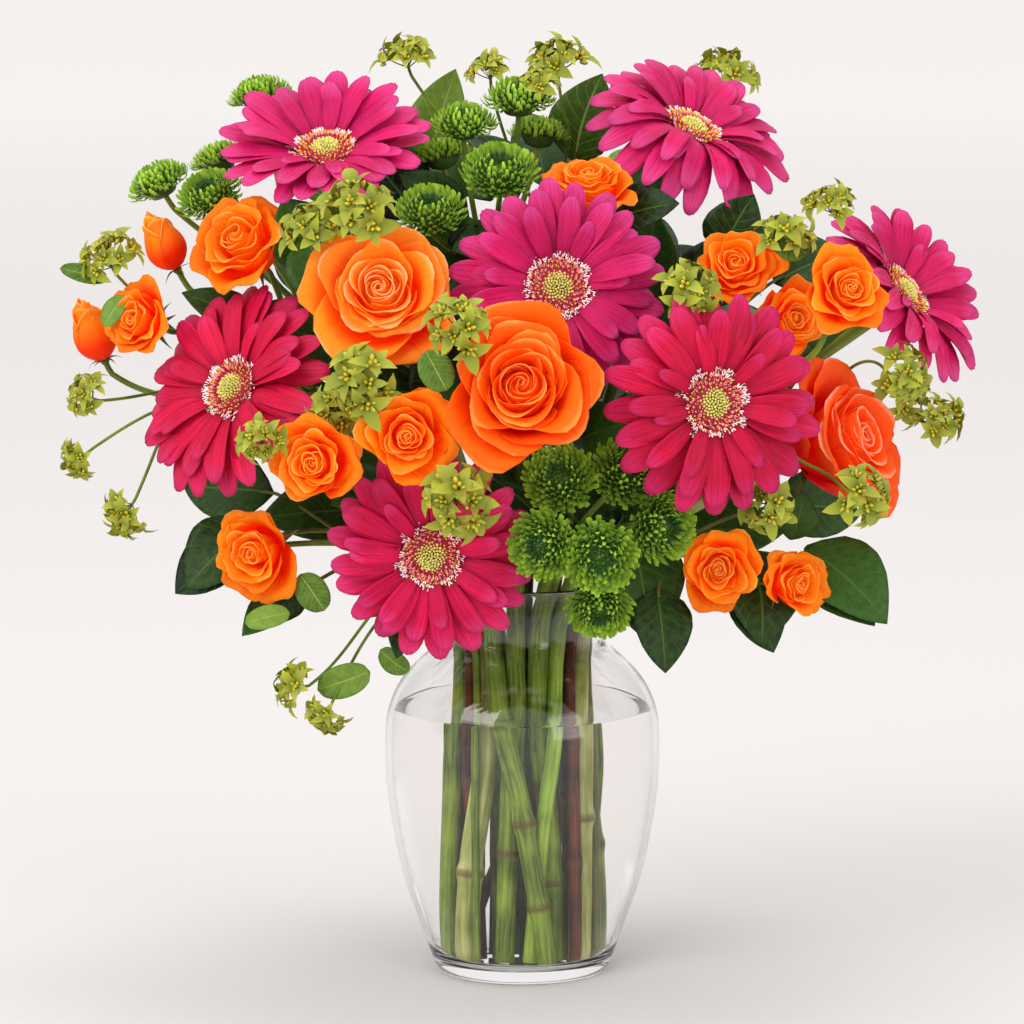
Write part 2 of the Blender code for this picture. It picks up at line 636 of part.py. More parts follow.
def leaf_blade(name, base, tip, half, collection):
    """A plate with a folded midrib, broadest before the middle, thickened."""
    base, tip = np.array(base), np.array(tip)
    along = unit(tip - base)
    length = np.linalg.norm(tip - base)
    outward = unit((base + tip) / 2 - np.array([0.0, 0.0, 0.16]))
    across = unit(np.cross(along, outward))
    normal = np.cross(across, along)
    rows = ((0.34, 0.94), (0.72, 0.80))
    work = bmesh.new()
    first = work.verts.new(base)
    last = work.verts.new(tip)
    stations = []
    for t, width in rows:
        middle = base + along * length * t - normal * 0.05 * length * (t * (1 - t) * 4 - 1)
        side = across * half * width
        lift = normal * half * width * LEAF_FOLD
        stations.append([work.verts.new(p) for p in (middle - side + lift, middle, middle + side + lift)])
    work.faces.new((first, stations[0][0], stations[0][1]))
    work.faces.new((first, stations[0][1], stations[0][2]))
    for low, high in zip(stations, stations[1:]):
        work.faces.new((low[0], high[0], high[1], low[1]))
        work.faces.new((low[1], high[1], high[2], low[2]))
    work.faces.new((stations[-1][0], last, stations[-1][1]))
    work.faces.new((stations[-1][1], last, stations[-1][2]))
    mesh = bpy.data.meshes.new(name)
    work.to_mesh(mesh)
    work.free()
    obj = place(name, mesh, collection)
    solid = obj.modifiers.new("thickness", "SOLIDIFY")
    solid.thickness = LEAF_THICKNESS
    solid.offset = 0.0
    return baked(obj)


def combine(target, parts, cutters, operation="UNION", solver="EXACT"):
    for part in parts:
        cutters.objects.link(part)
        for owner in list(part.users_collection):
            if owner is not cutters:
                owner.objects.unlink(part)
        part.hide_render = True
        part.display_type = "WIRE"
        boolean = target.modifiers.new(part.name, "BOOLEAN")
        boolean.operation = operation
        boolean.solver = solver
        boolean.object = part
    return target


# ---------------------------------------------------------------- the pieces

def build_vase(collection):
    wall = OUTSIDE.copy()
    outer = [(r, z) for r, z in wall[::-1]]
    lip = wall[-1]
    inner = [(float(inside_radius(z)), z) for z in wall[:, 1] if VASE_FLOOR + 0.004 < z < lip[1] - 0.001]
    floor = [(0.0, VASE_FLOOR), (float(inside_radius(VASE_FLOOR)) - 0.004, VASE_FLOOR)]
    rim = [(lip[0] - VASE_WALL, lip[1] + 0.0006), (lip[0] - VASE_WALL / 2, lip[1] + 0.0018)]
    obj = turned("vase", floor + inner + rim + outer + [(0.0, 0.0)], VASE_STEPS, collection)
    finish(obj, (0.92, 0.95, 0.94), 0.02, 1.0)
    return obj


def build_water(stems, collection, cutters):
    heights = [VASE_FLOOR + GAP, VASE_FLOOR + 0.006, 0.030, 0.050, 0.072, 0.094, 0.115, WATER_LEVEL]
    shrink = 1.0 / math.cos(math.pi / VASE_STEPS) - 1.0
    side = [(float(inside_radius(z)) * (1 - shrink) - 0.0012, z) for z in heights[::-1]]
    side[-1] = (side[-1][0] - 0.005, side[-1][1])
    profile = [(0.0, WATER_LEVEL)] + side + [(0.0, heights[0])]
    obj = turned("water", profile, WATER_STEPS, collection)
    combine(obj, stems, cutters, "DIFFERENCE")
    finish(obj, (0.90, 0.96, 0.95), 0.0, 1.0)
    return obj


def build():
    clear_scene()
    parts = new_collection("gerbera_bouquet_in_vase")
    cutters = new_collection("cutters")
    cutters.hide_render = True

    mains = main_routes()
    obstacles = guards()
    settle(mains, [], obstacles)
    twigs = twig_routes(mains)
    settle(twigs, mains, obstacles)
    main_of = {r.name: r for r in mains}
    twig_of = {r.name: r for r in twigs}

    build_vase(parts)
    holes = []
    for route in mains:
        shown = thinned(route.points, STRAY, STEM_RUN)
        wet = shown[: int(np.argmax(shown[:, 2] > WATER_LEVEL + 0.004)) + 2]
        hole = tube(f"hole_{route.name}", wet, route.radius, STEM_SIDES, parts, grow=GAP, stretch=GAP)
        holes.append(hole)

    for n, (centre, facing, radius, *_rest) in enumerate(GERBERAS, 1):
        finish(gerbera_head(f"gerbera_{n}_flower", centre, facing, radius, parts), PINK)
        route = main_of[f"gerbera_{n}"]
        points = thinned(route.points, STRAY, STEM_RUN)
        finish(tube(f"gerbera_{n}_stem", points, route.radius, STEM_SIDES, parts), GREEN)
    for n, (centre, facing, radius, *_rest) in enumerate(ROSES, 1):
        finish(rose_head(f"rose_{n}_bloom", centre, facing, radius, ROSE_STEPS, parts), ORANGE)
        route = main_of[f"rose_{n}"]
        points = thinned(route.points, STRAY, STEM_RUN)
        finish(tube(f"rose_{n}_stem", points, route.radius, STEM_SIDES, parts), GREEN)

    for kind, rows, colour in (
        ("spray_rose", SPRAY_ROSES, GREEN), ("mum_spray", MUM_SPRAYS, PALE_GREEN),
        ("bupleurum", BUPLEURUM, LIME), ("leaf_branch", LEAF_BRANCHES, DARK_GREEN),
    ):
        for n, row in enumerate(rows, 1):
            plant = f"{kind}_{n}"
            route = main_of[plant]
            name = plant + "_stem" if kind == "spray_rose" else plant
            stem = tube(name, thinned(route.points, STRAY, STEM_RUN), route.radius, STEM_SIDES, parts)
            joined = []
            for k, end in enumerate(row[4], 1):
                twig = twig_of[f"{plant}_{k}"]
                points = thinned(twig.points, 1.5 * STRAY, STEM_RUN)
                if kind == "spray_rose":
                    points[-1] -= unit(points[-1] - points[-2]) * HEAD_GAP
                joined.append(tube(f"{plant}_twig_{k}", points, twig.radius, TWIG_SIDES, parts))
                if kind == "spray_rose":
                    centre, facing, radius = end
                    bloom = rose_head(f"{plant}_bloom_{k}", centre, facing, radius, SPRAY_STEPS, parts)
                    finish(bloom, ORANGE)
                elif kind == "mum_spray":
                    joined.append(button_head(f"{plant}_head_{k}", *end, MUM_STEPS, parts))
                elif kind == "bupleurum":
                    joined.append(button_head(f"{plant}_umbel_{k}", *end, UMBEL_STEPS, parts))
                else:
                    joined.append(leaf_blade(f"{plant}_blade_{k}", *end, parts))
            combine(stem, joined, cutters, solver="MANIFOLD")
            finish(stem, colour)
    build_water(holes, parts, cutters)


build()
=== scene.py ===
"""Looks of a mixed bouquet of gerberas, roses, button mums and greenery in a clear glass vase.

Laid out as an add-on with one operator for each group of pieces, and run as a script. Metres, +Z up.
The stems follow the same laid-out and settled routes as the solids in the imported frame.
"""

import functools
import math

import bmesh
import bpy
import numpy as np
from bpy.props import FloatProperty, FloatVectorProperty, IntProperty, PointerProperty
from mathutils import Matrix, Vector


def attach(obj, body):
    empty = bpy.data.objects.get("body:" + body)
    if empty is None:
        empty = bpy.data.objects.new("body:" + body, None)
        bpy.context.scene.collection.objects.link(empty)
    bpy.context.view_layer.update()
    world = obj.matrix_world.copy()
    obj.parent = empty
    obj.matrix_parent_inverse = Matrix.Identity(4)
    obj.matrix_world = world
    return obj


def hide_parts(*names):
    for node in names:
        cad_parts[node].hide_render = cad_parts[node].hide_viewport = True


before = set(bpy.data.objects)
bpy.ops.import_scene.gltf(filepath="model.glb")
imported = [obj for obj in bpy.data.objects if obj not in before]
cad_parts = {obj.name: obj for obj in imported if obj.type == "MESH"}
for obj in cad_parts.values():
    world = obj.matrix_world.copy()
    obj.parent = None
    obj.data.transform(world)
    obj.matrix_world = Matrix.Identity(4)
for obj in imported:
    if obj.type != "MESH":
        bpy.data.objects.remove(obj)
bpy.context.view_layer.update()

bl_info = {
    "name": "Gerbera bouquet in a vase",
    "version": (1, 0, 0),
    "blender": (4, 5, 0),
    "location": "3D View > Sidebar > Bouquet",
    "description": "Builds a mixed bouquet in a clear glass vase, piece by piece",
    "category": "Add Mesh",
}

HEAD_GAP = 0.0012  # between a stem's end and the back of its bloom
CLEARANCE = 0.0012  # kept between routes, so that the faceted tubes stay apart
LEAN_FROM = 0.034  # beyond this far from the axis, a stem above the vase keeps off the lip
WALL_CLEARANCE = 0.0022  # kept to the vase's faceted wall

# Vase, as (radius, height) of its outside from the base to the lip.
VASE_OUTSIDE = (
    (0.0400, 0.0000), (0.0435, 0.0030), (0.0475, 0.0130), (0.0535, 0.0300),
    (0.0600, 0.0490), (0.0645, 0.0700), (0.0680, 0.0920), (0.0690, 0.1150),
    (0.0675, 0.1330), (0.0610, 0.1480), (0.0500, 0.1600), (0.0410, 0.1680),
    (0.0395, 0.1760), (0.0420, 0.1860), (0.0490, 0.1970),
)
VASE_WALL = 0.0030
VASE_SPACING = 0.0140  # about how far apart the profile's points stand
WATER_LEVEL = 0.134

STEM_FOOT = 0.0095  # height of the stems' cut ends
NECK = 0.168  # height of the narrowest place, where the stems cross
FREE_CHANNEL = (0.0, 0.0235, 0.0072)  # x, y and radius of the space at the back that takes one more stem

# Gerberas: centre of the petal ring, the way it faces, petal radius, foot and neck places, stem radius.
GERBERAS = (
    ((-0.097, -0.020, 0.415), (-0.07, -0.46, 0.88), 0.053, (-0.0100, -0.0080), (-0.0110, 0.0080), 0.0036),
    ((-0.141, -0.060, 0.302), (-0.61, -0.67, 0.43), 0.056, (-0.0355, -0.0060), (-0.0290, -0.0090), 0.0040),
    ((0.017, -0.090, 0.355), (0.00, -0.96, 0.29), 0.053, (0.0060, 0.0140), (0.0000, -0.0130), 0.0038),
    ((0.091, -0.125, 0.303), (0.25, -0.96, 0.13), 0.054, (0.0040, -0.0225), (0.0165, -0.0262), 0.0034),
    ((0.084, 0.010, 0.423), (0.42, -0.30, 0.85), 0.054, (-0.0020, 0.0280), (0.0100, 0.0070), 0.0036),
    ((0.190, 0.015, 0.341), (0.73, -0.27, 0.62), 0.052, (0.0355, 0.0040), (0.0290, 0.0068), 0.0036),
    ((-0.044, -0.106, 0.227), (-0.10, -0.98, -0.16), 0.052, (0.0135, -0.0335), (-0.0145, -0.0262), 0.0044),
)

# Roses: centre of the open cup, the way it faces, radius, foot and neck places, stem radius.
ROSES = (
    ((-0.068, -0.110, 0.357), (-0.10, -0.90, 0.43), 0.038, (-0.0285, -0.0195), (-0.0150, -0.0125), 0.0052),
    ((-0.001, -0.152, 0.314), (0.00, -0.95, 0.28), 0.038, (-0.0085, -0.0205), (-0.0040, -0.0295), 0.0042),
    ((0.163, -0.050, 0.276), (0.75, -0.56, 0.33), 0.038, (0.0265, -0.0145), (0.0275, -0.0127), 0.0050),
)

# Spray roses: fork of the stem, foot and neck places, stem radius, then each bloom's centre, facing and radius.
SPRAY_ROSES = (
    ((-0.104, -0.010, 0.296), (-0.0200, 0.0120), (-0.0195, 0.0020), 0.0030, (
        ((-0.138, -0.040, 0.372), (-0.45, -0.70, 0.55), 0.023),
        ((-0.177, -0.005, 0.366), (-0.45, -0.08, 0.87), 0.014),
        ((-0.213, 0.000, 0.321), (-0.35, -0.20, 0.90), 0.015),
        ((-0.191, -0.036, 0.334), (-0.60, -0.73, 0.31), 0.020),
    )),
    ((-0.062, -0.058, 0.232), (-0.0195, -0.0080), (-0.0255, -0.0172), 0.0030, (
        ((-0.100, -0.130, 0.275), (-0.15, -0.97, 0.14), 0.023),
        ((-0.055, -0.140, 0.289), (0.00, -0.99, 0.04), 0.0245),
        ((-0.132, -0.070, 0.222), (-0.40, -0.91, -0.02), 0.024),
    )),
    ((0.048, -0.030, 0.315), (0.0160, 0.0100), (0.0110, -0.0100), 0.0028, (
        ((0.032, -0.040, 0.404), (0.00, -0.48, 0.88), 0.023),
        ((0.104, -0.060, 0.364), (-0.10, -0.87, 0.48), 0.0205),
    )),
    ((0.118, -0.060, 0.290), (0.0220, 0.0200), (0.0190, -0.0030), 0.0028, (
        ((0.133, -0.056, 0.336), (0.35, -0.91, 0.23), 0.0205),
        ((0.158, -0.098, 0.356), (0.30, -0.88, 0.38), 0.0215),
    )),
    ((0.070, -0.040, 0.228), (0.0260, -0.0235), (0.0225, -0.0210), 0.0028, (
        ((0.095, -0.088, 0.217), (0.00, -0.99, 0.04), 0.0215),
        ((0.135, -0.070, 0.207), (0.60, -0.80, 0.06), 0.0190),
    )),
)

# Button mums, laid out as the spray roses are.
MUM_SPRAYS = (
    ((-0.108, 0.030, 0.330), (-0.0310, 0.0100), (-0.0265, 0.0140), 0.0030, (
        ((-0.180, 0.010, 0.395), (-0.45, -0.20, 0.87), 0.0150),
        ((-0.154, -0.010, 0.391), (-0.30, -0.60, 0.74), 0.0155),
        ((-0.131, 0.042, 0.436), (-0.20, -0.10, 0.97), 0.0150),
        ((-0.152, 0.040, 0.404), (-0.30, 0.10, 0.95), 0.0140),
    )),
    ((-0.016, 0.006, 0.345), (0.0020, -0.0060), (-0.0020, -0.0020), 0.0030, (
        ((-0.045, -0.056, 0.387), (0.00, -0.60, 0.80), 0.0160),
        ((-0.029, -0.010, 0.426), (0.00, -0.30, 0.95), 0.0150),
        ((-0.002, 0.000, 0.437), (0.00, -0.25, 0.97), 0.0160),
        ((-0.011, -0.045, 0.405), (0.00, -0.60, 0.80), 0.0175),
        ((0.008, 0.028, 0.418), (0.10, 0.10, 0.99), 0.0140),
        ((-0.040, 0.030, 0.407), (-0.20, 0.10, 0.97), 0.0140),
    )),
    ((0.024, -0.060, 0.236), (0.0160, -0.0120), (0.0070, -0.0290), 0.0046, (
        ((0.018, -0.112, 0.264), (-0.10, -0.90, 0.40), 0.0165),
        ((0.049, -0.105, 0.266), (0.20, -0.85, 0.45), 0.0165),
        ((0.066, -0.106, 0.241), (0.50, -0.85, 0.00), 0.0165),
        ((0.010, -0.131, 0.236), (-0.30, -0.95, 0.00), 0.0160),
        ((0.037, -0.134, 0.231), (0.00, -1.00, -0.05), 0.0170),
        ((0.037, -0.112, 0.203), (0.00, -0.90, -0.40), 0.0150),
    )),
)

# Bupleurum: fork, foot and neck places, stem radius, then each umbel's centre, facing and radius.
BUPLEURUM = (
    ((-0.150, 0.012, 0.300), (-0.0340, 0.0030), (-0.0310, 0.0040), 0.0018, (
        ((-0.205, -0.018, 0.362), (-0.30, -0.50, 0.80), 0.0105),
        ((-0.215, -0.036, 0.296), (-0.60, -0.50, 0.40), 0.0080),
        ((-0.218, -0.046, 0.266), (-0.70, -0.30, -0.50), 0.0075),
        ((-0.195, -0.052, 0.240), (-0.50, -0.40, -0.60), 0.0100),
    )),
    ((-0.052, -0.036, 0.208), (-0.0220, -0.0270), (-0.0223, -0.0231), 0.0018, (
        ((-0.112, -0.066, 0.156), (-0.80, -0.40, 0.20), 0.0090),
        ((-0.096, -0.070, 0.142), (-0.30, -0.60, -0.70), 0.0080),
    )),
    ((0.140, 0.000, 0.292), (0.0320, 0.0140), (0.0320, 0.0000), 0.0018, (
        ((0.206, -0.034, 0.284), (0.60, -0.60, 0.40), 0.0095),
        ((0.186, -0.078, 0.312), (0.50, -0.80, 0.30), 0.0095),
        ((0.163, -0.116, 0.256), (0.50, -0.80, 0.00), 0.0110),
    )),
    ((0.020, 0.036, 0.350), (0.0040, 0.0340), (0.0010, 0.0090), 0.0018, (
        ((-0.058, 0.020, 0.459), (-0.20, -0.20, 0.96), 0.0100),
        ((-0.016, 0.024, 0.452), (0.00, -0.20, 0.98), 0.0080),
        ((0.018, 0.024, 0.457), (0.00, -0.20, 0.98), 0.0105),
        ((0.103, 0.074, 0.447), (0.10, -0.20, 0.97), 0.0110),
    )),
)

# Leafy branches: fork, foot and neck places, stem radius, then each leaf's base, tip and half width.
LEAF_BRANCHES = (
    ((-0.060, 0.024, 0.340), (-0.0120, 0.0220), (-0.0115, 0.0165), 0.0022, (
        ((-0.049, 0.044, 0.402), (-0.034, 0.036, 0.452), 0.0160),
        ((-0.093, 0.050, 0.380), (-0.105, 0.086, 0.420), 0.0170),
        ((-0.070, 0.078, 0.352), (-0.090, 0.124, 0.372), 0.0170),
    )),
    ((0.040, 0.044, 0.340), (0.0120, 0.0240), (0.0155, 0.0155), 0.0022, (
        ((0.026, 0.048, 0.404), (0.040, 0.046, 0.449), 0.0170),
        ((0.052, 0.078, 0.388), (0.072, 0.116, 0.408), 0.0170),
        ((0.006, 0.084, 0.360), (-0.004, 0.132, 0.376), 0.0170),
    )),
    ((0.092, 0.022, 0.320), (-0.0260, 0.0240), (0.0270, 0.0145), 0.0022, (
        ((0.098, -0.016, 0.362), (0.114, -0.022, 0.394), 0.0150),
        ((0.128, 0.052, 0.344), (0.166, 0.082, 0.356), 0.0170),
        ((0.098, 0.080, 0.322), (0.124, 0.126, 0.322), 0.0180),
    )),
    ((0.084, -0.006, 0.222), (0.0340, -0.0080), (0.0315, -0.0055), 0.0022, (
        ((0.066, -0.072, 0.206), (0.070, -0.086, 0.166), 0.0150),
        ((0.108, -0.052, 0.206), (0.124, -0.060, 0.172), 0.0150),
        ((0.140, -0.034, 0.212), (0.174, -0.050, 0.184), 0.0160),
        ((0.126, 0.024, 0.232), (0.172, 0.042, 0.226), 0.0180),
    )),
    ((-0.086, -0.010, 0.224), (-0.0300, 0.0180), (-0.0310, -0.0020), 0.0022, (
        ((-0.142, -0.028, 0.218), (-0.172, -0.038, 0.198), 0.0150),
        ((-0.126, 0.022, 0.240), (-0.172, 0.042, 0.240), 0.0180),
        ((-0.110, -0.024, 0.196), (-0.138, -0.052, 0.180), 0.0120),
    )),
    ((-0.050, 0.076, 0.250), (-0.0200, 0.0280), (-0.0200, 0.0235), 0.0022, (
        ((-0.096, 0.084, 0.292), (-0.142, 0.096, 0.312), 0.0180),
        ((-0.078, 0.112, 0.246), (-0.112, 0.148, 0.240), 0.0180),
        ((-0.030, 0.118, 0.268), (-0.034, 0.166, 0.274), 0.0180),
    )),
    ((0.050, 0.076, 0.250), (0.0120, 0.0335), (0.0215, 0.0215), 0.0022, (
        ((0.094, 0.086, 0.272), (0.140, 0.100, 0.278), 0.0180),
        ((0.072, 0.112, 0.228), (0.104, 0.146, 0.214), 0.0180),
        ((0.028, 0.120, 0.284), (0.034, 0.166, 0.300), 0.0180),
    )),
)

FORKED = {"spray_rose": SPRAY_ROSES, "mum_spray": MUM_SPRAYS, "bupleurum": BUPLEURUM}
GERBERA_BACK = 0.013  # depth of the green cup behind the petals
# How far behind its centre a bloom's stem ends, in its radii.
HEAD_DEPTH = {"rose": 0.95, "spray_rose": 0.95, "mum_spray": 0.3, "bupleurum": 0.1}
BRANCH_RADIUS = {"spray_rose": 0.0017, "mum_spray": 0.0016, "bupleurum": 0.0009, "leaf_branch": 0.0011}

# Settling the routes.
STEP = 0.005  # spacing of a route's points
ROUNDS = 220
STIFFNESS = 0.22
MEMORY = 0.006  # pull of a route towards where it was laid
PUSH = 0.85  # share of an overlap that one round takes away
LONGEST_PUSH = 0.0025
RENEWED = 8  # rounds between new lists of near neighbours
BATCH = 400  # points compared at a time
NEAR_GAP = 0.010  # points with less than this between them are near neighbours
KIN = 0.016  # branches of one plant may come this close to each other


# ---------------------------------------------------------------- profiles and routes

def smooth_line(points, spacing):
    """Points of a Catmull-Rom curve through the given ones, about a spacing apart."""
    given = np.array(points, float)
    padded = np.vstack([2 * given[0] - given[1], given, 2 * given[-1] - given[-2]])
    out = [given[0]]
    for i in range(len(given) - 1):
        a, b, c, d = padded[i : i + 4]
        parts = max(1, round(float(np.linalg.norm(c - b)) / spacing))
        for k in range(1, parts + 1):
            t = k / parts
            out.append(
                0.5 * (2 * b + (c - a) * t + (2 * a - 5 * b + 4 * c - d) * t**2 + (3 * b - a - 3 * c + d) * t**3)
            )
    return np.array(out)


OUTSIDE = smooth_line(VASE_OUTSIDE, VASE_SPACING)


def outside_radius(height):
    return np.interp(height, OUTSIDE[:, 1], OUTSIDE[:, 0])


def inside_radius(height):
    return outside_radius(height) - VASE_WALL


def bezier(a, b, c, d, spacing):
    length = np.linalg.norm(b - a) + np.linalg.norm(c - b) + np.linalg.norm(d - c)
    t = np.linspace(0.0, 1.0, max(4, round(length / spacing)) + 1)[:, None]
    return a * (1 - t) ** 3 + 3 * b * t * (1 - t) ** 2 + 3 * c * t**2 * (1 - t) + d * t**3


def unit(v):
    v = np.array(v, float)
    return v / np.linalg.norm(v)


def stem_route(foot, neck, end, arriving):
    """From the cut end straight to the neck, then one bend to the end, arriving along the given direction."""
    low = np.array([*foot, STEM_FOOT])
    mid = np.array([*neck, NECK])
    end = np.array(end, float)
    parts = round(float(np.linalg.norm(mid - low)) / STEP)
    lower = low + (mid - low) * np.linspace(0.0, 1.0, parts + 1)[:, None]
    reach = np.linalg.norm(end - mid)
    nodding = min(1.0, max(0.0, (0.300 - end[2]) / 0.090))
    leaving = unit(0.55 * unit(mid - low) + 0.30 * unit(end - mid) + np.array([0, 0, 0.45 + 0.5 * nodding]))
    upper = bezier(mid, mid + leaving * 0.42 * reach, end - unit(arriving) * 0.36 * reach, end, STEP)
    return np.vstack([lower, upper[1:]])


def branch_route(start, leaving, end, arriving):
    reach = np.linalg.norm(np.array(end) - start)
    return bezier(
        start, start + unit(leaving) * 0.38 * reach, end - unit(arriving) * 0.34 * reach, np.array(end, float), STEP
    )


# ---------------------------------------------------------------- the plants

def head_end(centre, facing, depth):
    return np.array(centre) - unit(facing) * depth


def gerbera_guard(centre, facing, radius):
    """Spheres that fill a gerbera's disc, for the routes to stay clear of."""
    normal = unit(facing)
    side = unit(np.cross(normal, (0.0, 0.3, 1.0)))
    up = np.cross(normal, side)
    out = [(np.array(centre) - normal * 0.006, 0.013)]
    for ring, count in ((0.30, 7), (0.52, 11), (0.72, 15), (0.90, 19)):
        for k in range(count):
            angle = 2 * math.pi * k / count
            spoke = side * math.cos(angle) + up * math.sin(angle)
            out.append((np.array(centre) + spoke * radius * ring, 0.0072))
    return out


def rose_guard(centre, facing, radius):
    normal = unit(facing)
    return [
        (np.array(centre) + normal * radius * 0.02, radius * 0.97),
        (np.array(centre) - normal * radius * 0.45, radius * 0.72),
    ]


def leaf_direction(base, tip):
    return unit(np.array(tip) - np.array(base))


class Route:
    """A stem or branch: its points, radius, plant, and whether its first point is held by another route."""

    def __init__(self, name, points, radius, plant, held_start=False):
        self.name, self.points, self.radius, self.plant = name, points, radius, plant
        self.held_start = held_start


def main_routes():
    routes = []
    for kind, rows in (("gerbera", GERBERAS), ("rose", ROSES)):
        for n, (centre, facing, radius, foot, neck, thick) in enumerate(rows, 1):
            depth = GERBERA_BACK if kind == "gerbera" else HEAD_DEPTH["rose"] * radius
            end = head_end(centre, facing, depth + HEAD_GAP)
            routes.append(Route(f"{kind}_{n}", stem_route(foot, neck, end, facing), thick, f"{kind}_{n}"))
    for kind, rows in (*FORKED.items(), ("leaf_branch", LEAF_BRANCHES)):
        for n, (fork, foot, neck, thick, _ends) in enumerate(rows, 1):
            outward = unit((fork[0], fork[1], 0.12 + fork[2] - NECK))
            routes.append(Route(f"{kind}_{n}", stem_route(foot, neck, fork, outward), thick, f"{kind}_{n}"))
    return routes


def twig_routes(settled):
    """The branches from each fork to its blooms, umbels or leaves."""
    ends_of = {}
    for kind, rows in FORKED.items():
        for n, row in enumerate(rows, 1):
            ends_of[f"{kind}_{n}"] = [(head_end(c, f, HEAD_DEPTH[kind] * r), f) for c, f, r in row[4]]
    for n, row in enumerate(LEAF_BRANCHES, 1):
        ends_of[f"leaf_branch_{n}"] = [
            (np.array(base) + 0.12 * (np.array(tip) - np.array(base)), leaf_direction(base, tip))
            for base, tip, _ in row[4]
        ]
    out = []
    for route in settled:
        kind = route.plant.rsplit("_", 1)[0]
        for k, (end, facing) in enumerate(ends_of.get(route.plant, ()), 1):
            at = len(route.points) - 1 - 2 * ((k - 1) % 3)
            start = route.points[at]
            leaving = unit(route.points[at] - route.points[at - 3]) + 0.9 * unit(end - start)
            points = branch_route(start, leaving, end, facing)
            out.append(Route(f"{route.plant}_{k}", points, BRANCH_RADIUS[kind], route.plant, True))
    return out


def guards():
    """Every bloom as spheres: (centre, radius, the plant or route that may touch it)."""
    out = []
    for n, (centre, facing, radius, *_rest) in enumerate(GERBERAS, 1):
        out += [(c, r, f"gerbera_{n}") for c, r in gerbera_guard(centre, facing, radius)]
    for n, (centre, facing, radius, *_rest) in enumerate(ROSES, 1):
        out += [(c, r, f"rose_{n}") for c, r in rose_guard(centre, facing, radius)]
    for kind, rows in FORKED.items():
        for n, row in enumerate(rows, 1):
            for k, (centre, facing, radius) in enumerate(row[4], 1):
                owner = f"{kind}_{n}_{k}" if kind == "spray_rose" else f"{kind}_{n}"
                if kind == "spray_rose":
                    out += [(c, r, owner) for c, r in rose_guard(centre, facing, radius)]
                else:
                    out.append((np.array(centre), radius, owner))
    for n, row in enumerate(LEAF_BRANCHES, 1):
        for base, tip, half in row[4]:
            for part in (0.25, 0.5, 0.75):
                centre = np.array(base) + part * (np.array(tip) - np.array(base))
                out.append((centre, half * 0.62, f"leaf_branch_{n}"))
    return out


def settle(moving, fixed, obstacles):
    """Pushes the moving routes off each other, off the fixed ones and off the obstacles, and keeps them smooth."""
    spots, sizes, owners = zip(*obstacles)
    points = np.vstack([r.points for r in moving + fixed] + [np.array(spots)])
    laid = points.copy()
    # For each point its radius, line, route name and plant. An obstacle has no line.
    rows = [(r.radius, n, r.name, r.plant) for n, r in enumerate(moving + fixed) for _ in r.points]
    rows += [(size, -1, owner, owner) for size, owner in zip(sizes, owners)]
    radius, line, names, plants = (np.array(column) for column in zip(*rows))
    name_id, plant_id = (np.unique(column, return_inverse=True)[1] for column in (names, plants))
    movable_count = sum(len(r.points) for r in moving)
    free = np.zeros(len(points))
    inner = np.zeros(len(points), bool)
    start = 0
    spans = []
    for route in moving:
        count = len(route.points)
        weight = np.ones(count)
        weight[-3:] = 0.0
        weight[0] = 0.0 if route.held_start else 1.0
        if route.held_start:
            weight[1] = 0.3
        free[start : start + count] = weight
        inner[start + 1 : start + count - 1] = True
        spans.append((start, count, route))
        start += count
    index = np.arange(len(points))
    for turn in range(ROUNDS):
        if turn % RENEWED == 0:
            a_all, b_all = [], []
            for begin in range(0, movable_count, BATCH):
                rows = index[begin : min(begin + BATCH, movable_count)]
                near = np.linalg.norm(points[rows][:, None] - points[None], axis=2)
                reach = radius[rows][:, None] + radius[None] + CLEARANCE + NEAR_GAP
                hit = near < reach
                hit &= rows[:, None] < index[None]
                hit &= name_id[rows][:, None] != name_id[None]
                hit &= line[rows][:, None] != line[None]
                same = plant_id[rows][:, None] == plant_id[None]
                hit &= ~(same & (near < KIN))
                hit &= ~(same & (line[None] < 0))
                a, b = np.nonzero(hit)
                a_all.append(rows[a])
                b_all.append(b)
            a, b = np.concatenate(a_all), np.concatenate(b_all)
        away = points[a] - points[b]
        distance = np.maximum(np.linalg.norm(away, axis=1), 1e-6)
        short = np.maximum(radius[a] + radius[b] + CLEARANCE - distance, 0.0)
        total = np.maximum(free[a] + free[b], 1e-9)
        push = away / distance[:, None] * short[:, None] * PUSH
        moved = np.zeros_like(points)
        np.add.at(moved, a, push * (free[a] / total)[:, None])
        np.add.at(moved, b, -push * (free[b] / total)[:, None])
        longest = np.linalg.norm(moved, axis=1)
        moved *= np.minimum(1.0, LONGEST_PUSH / np.maximum(longest, 1e-9))[:, None]
        points += moved
        bend = np.zeros_like(points)
        middle = np.flatnonzero(inner)
        bend[middle] = (points[middle - 1] + points[middle + 1]) / 2 - points[middle]
        fade = 1.0 if turn < ROUNDS * 0.75 else 0.5
        points += bend * (STIFFNESS * fade * free)[:, None]
        points += (laid - points) * (MEMORY * free)[:, None]
        for begin, count, route in spans:
            keep_in_vase(points[begin : begin + count], route)
    for begin, count, route in spans:
        route.points = points[begin : begin + count].copy()


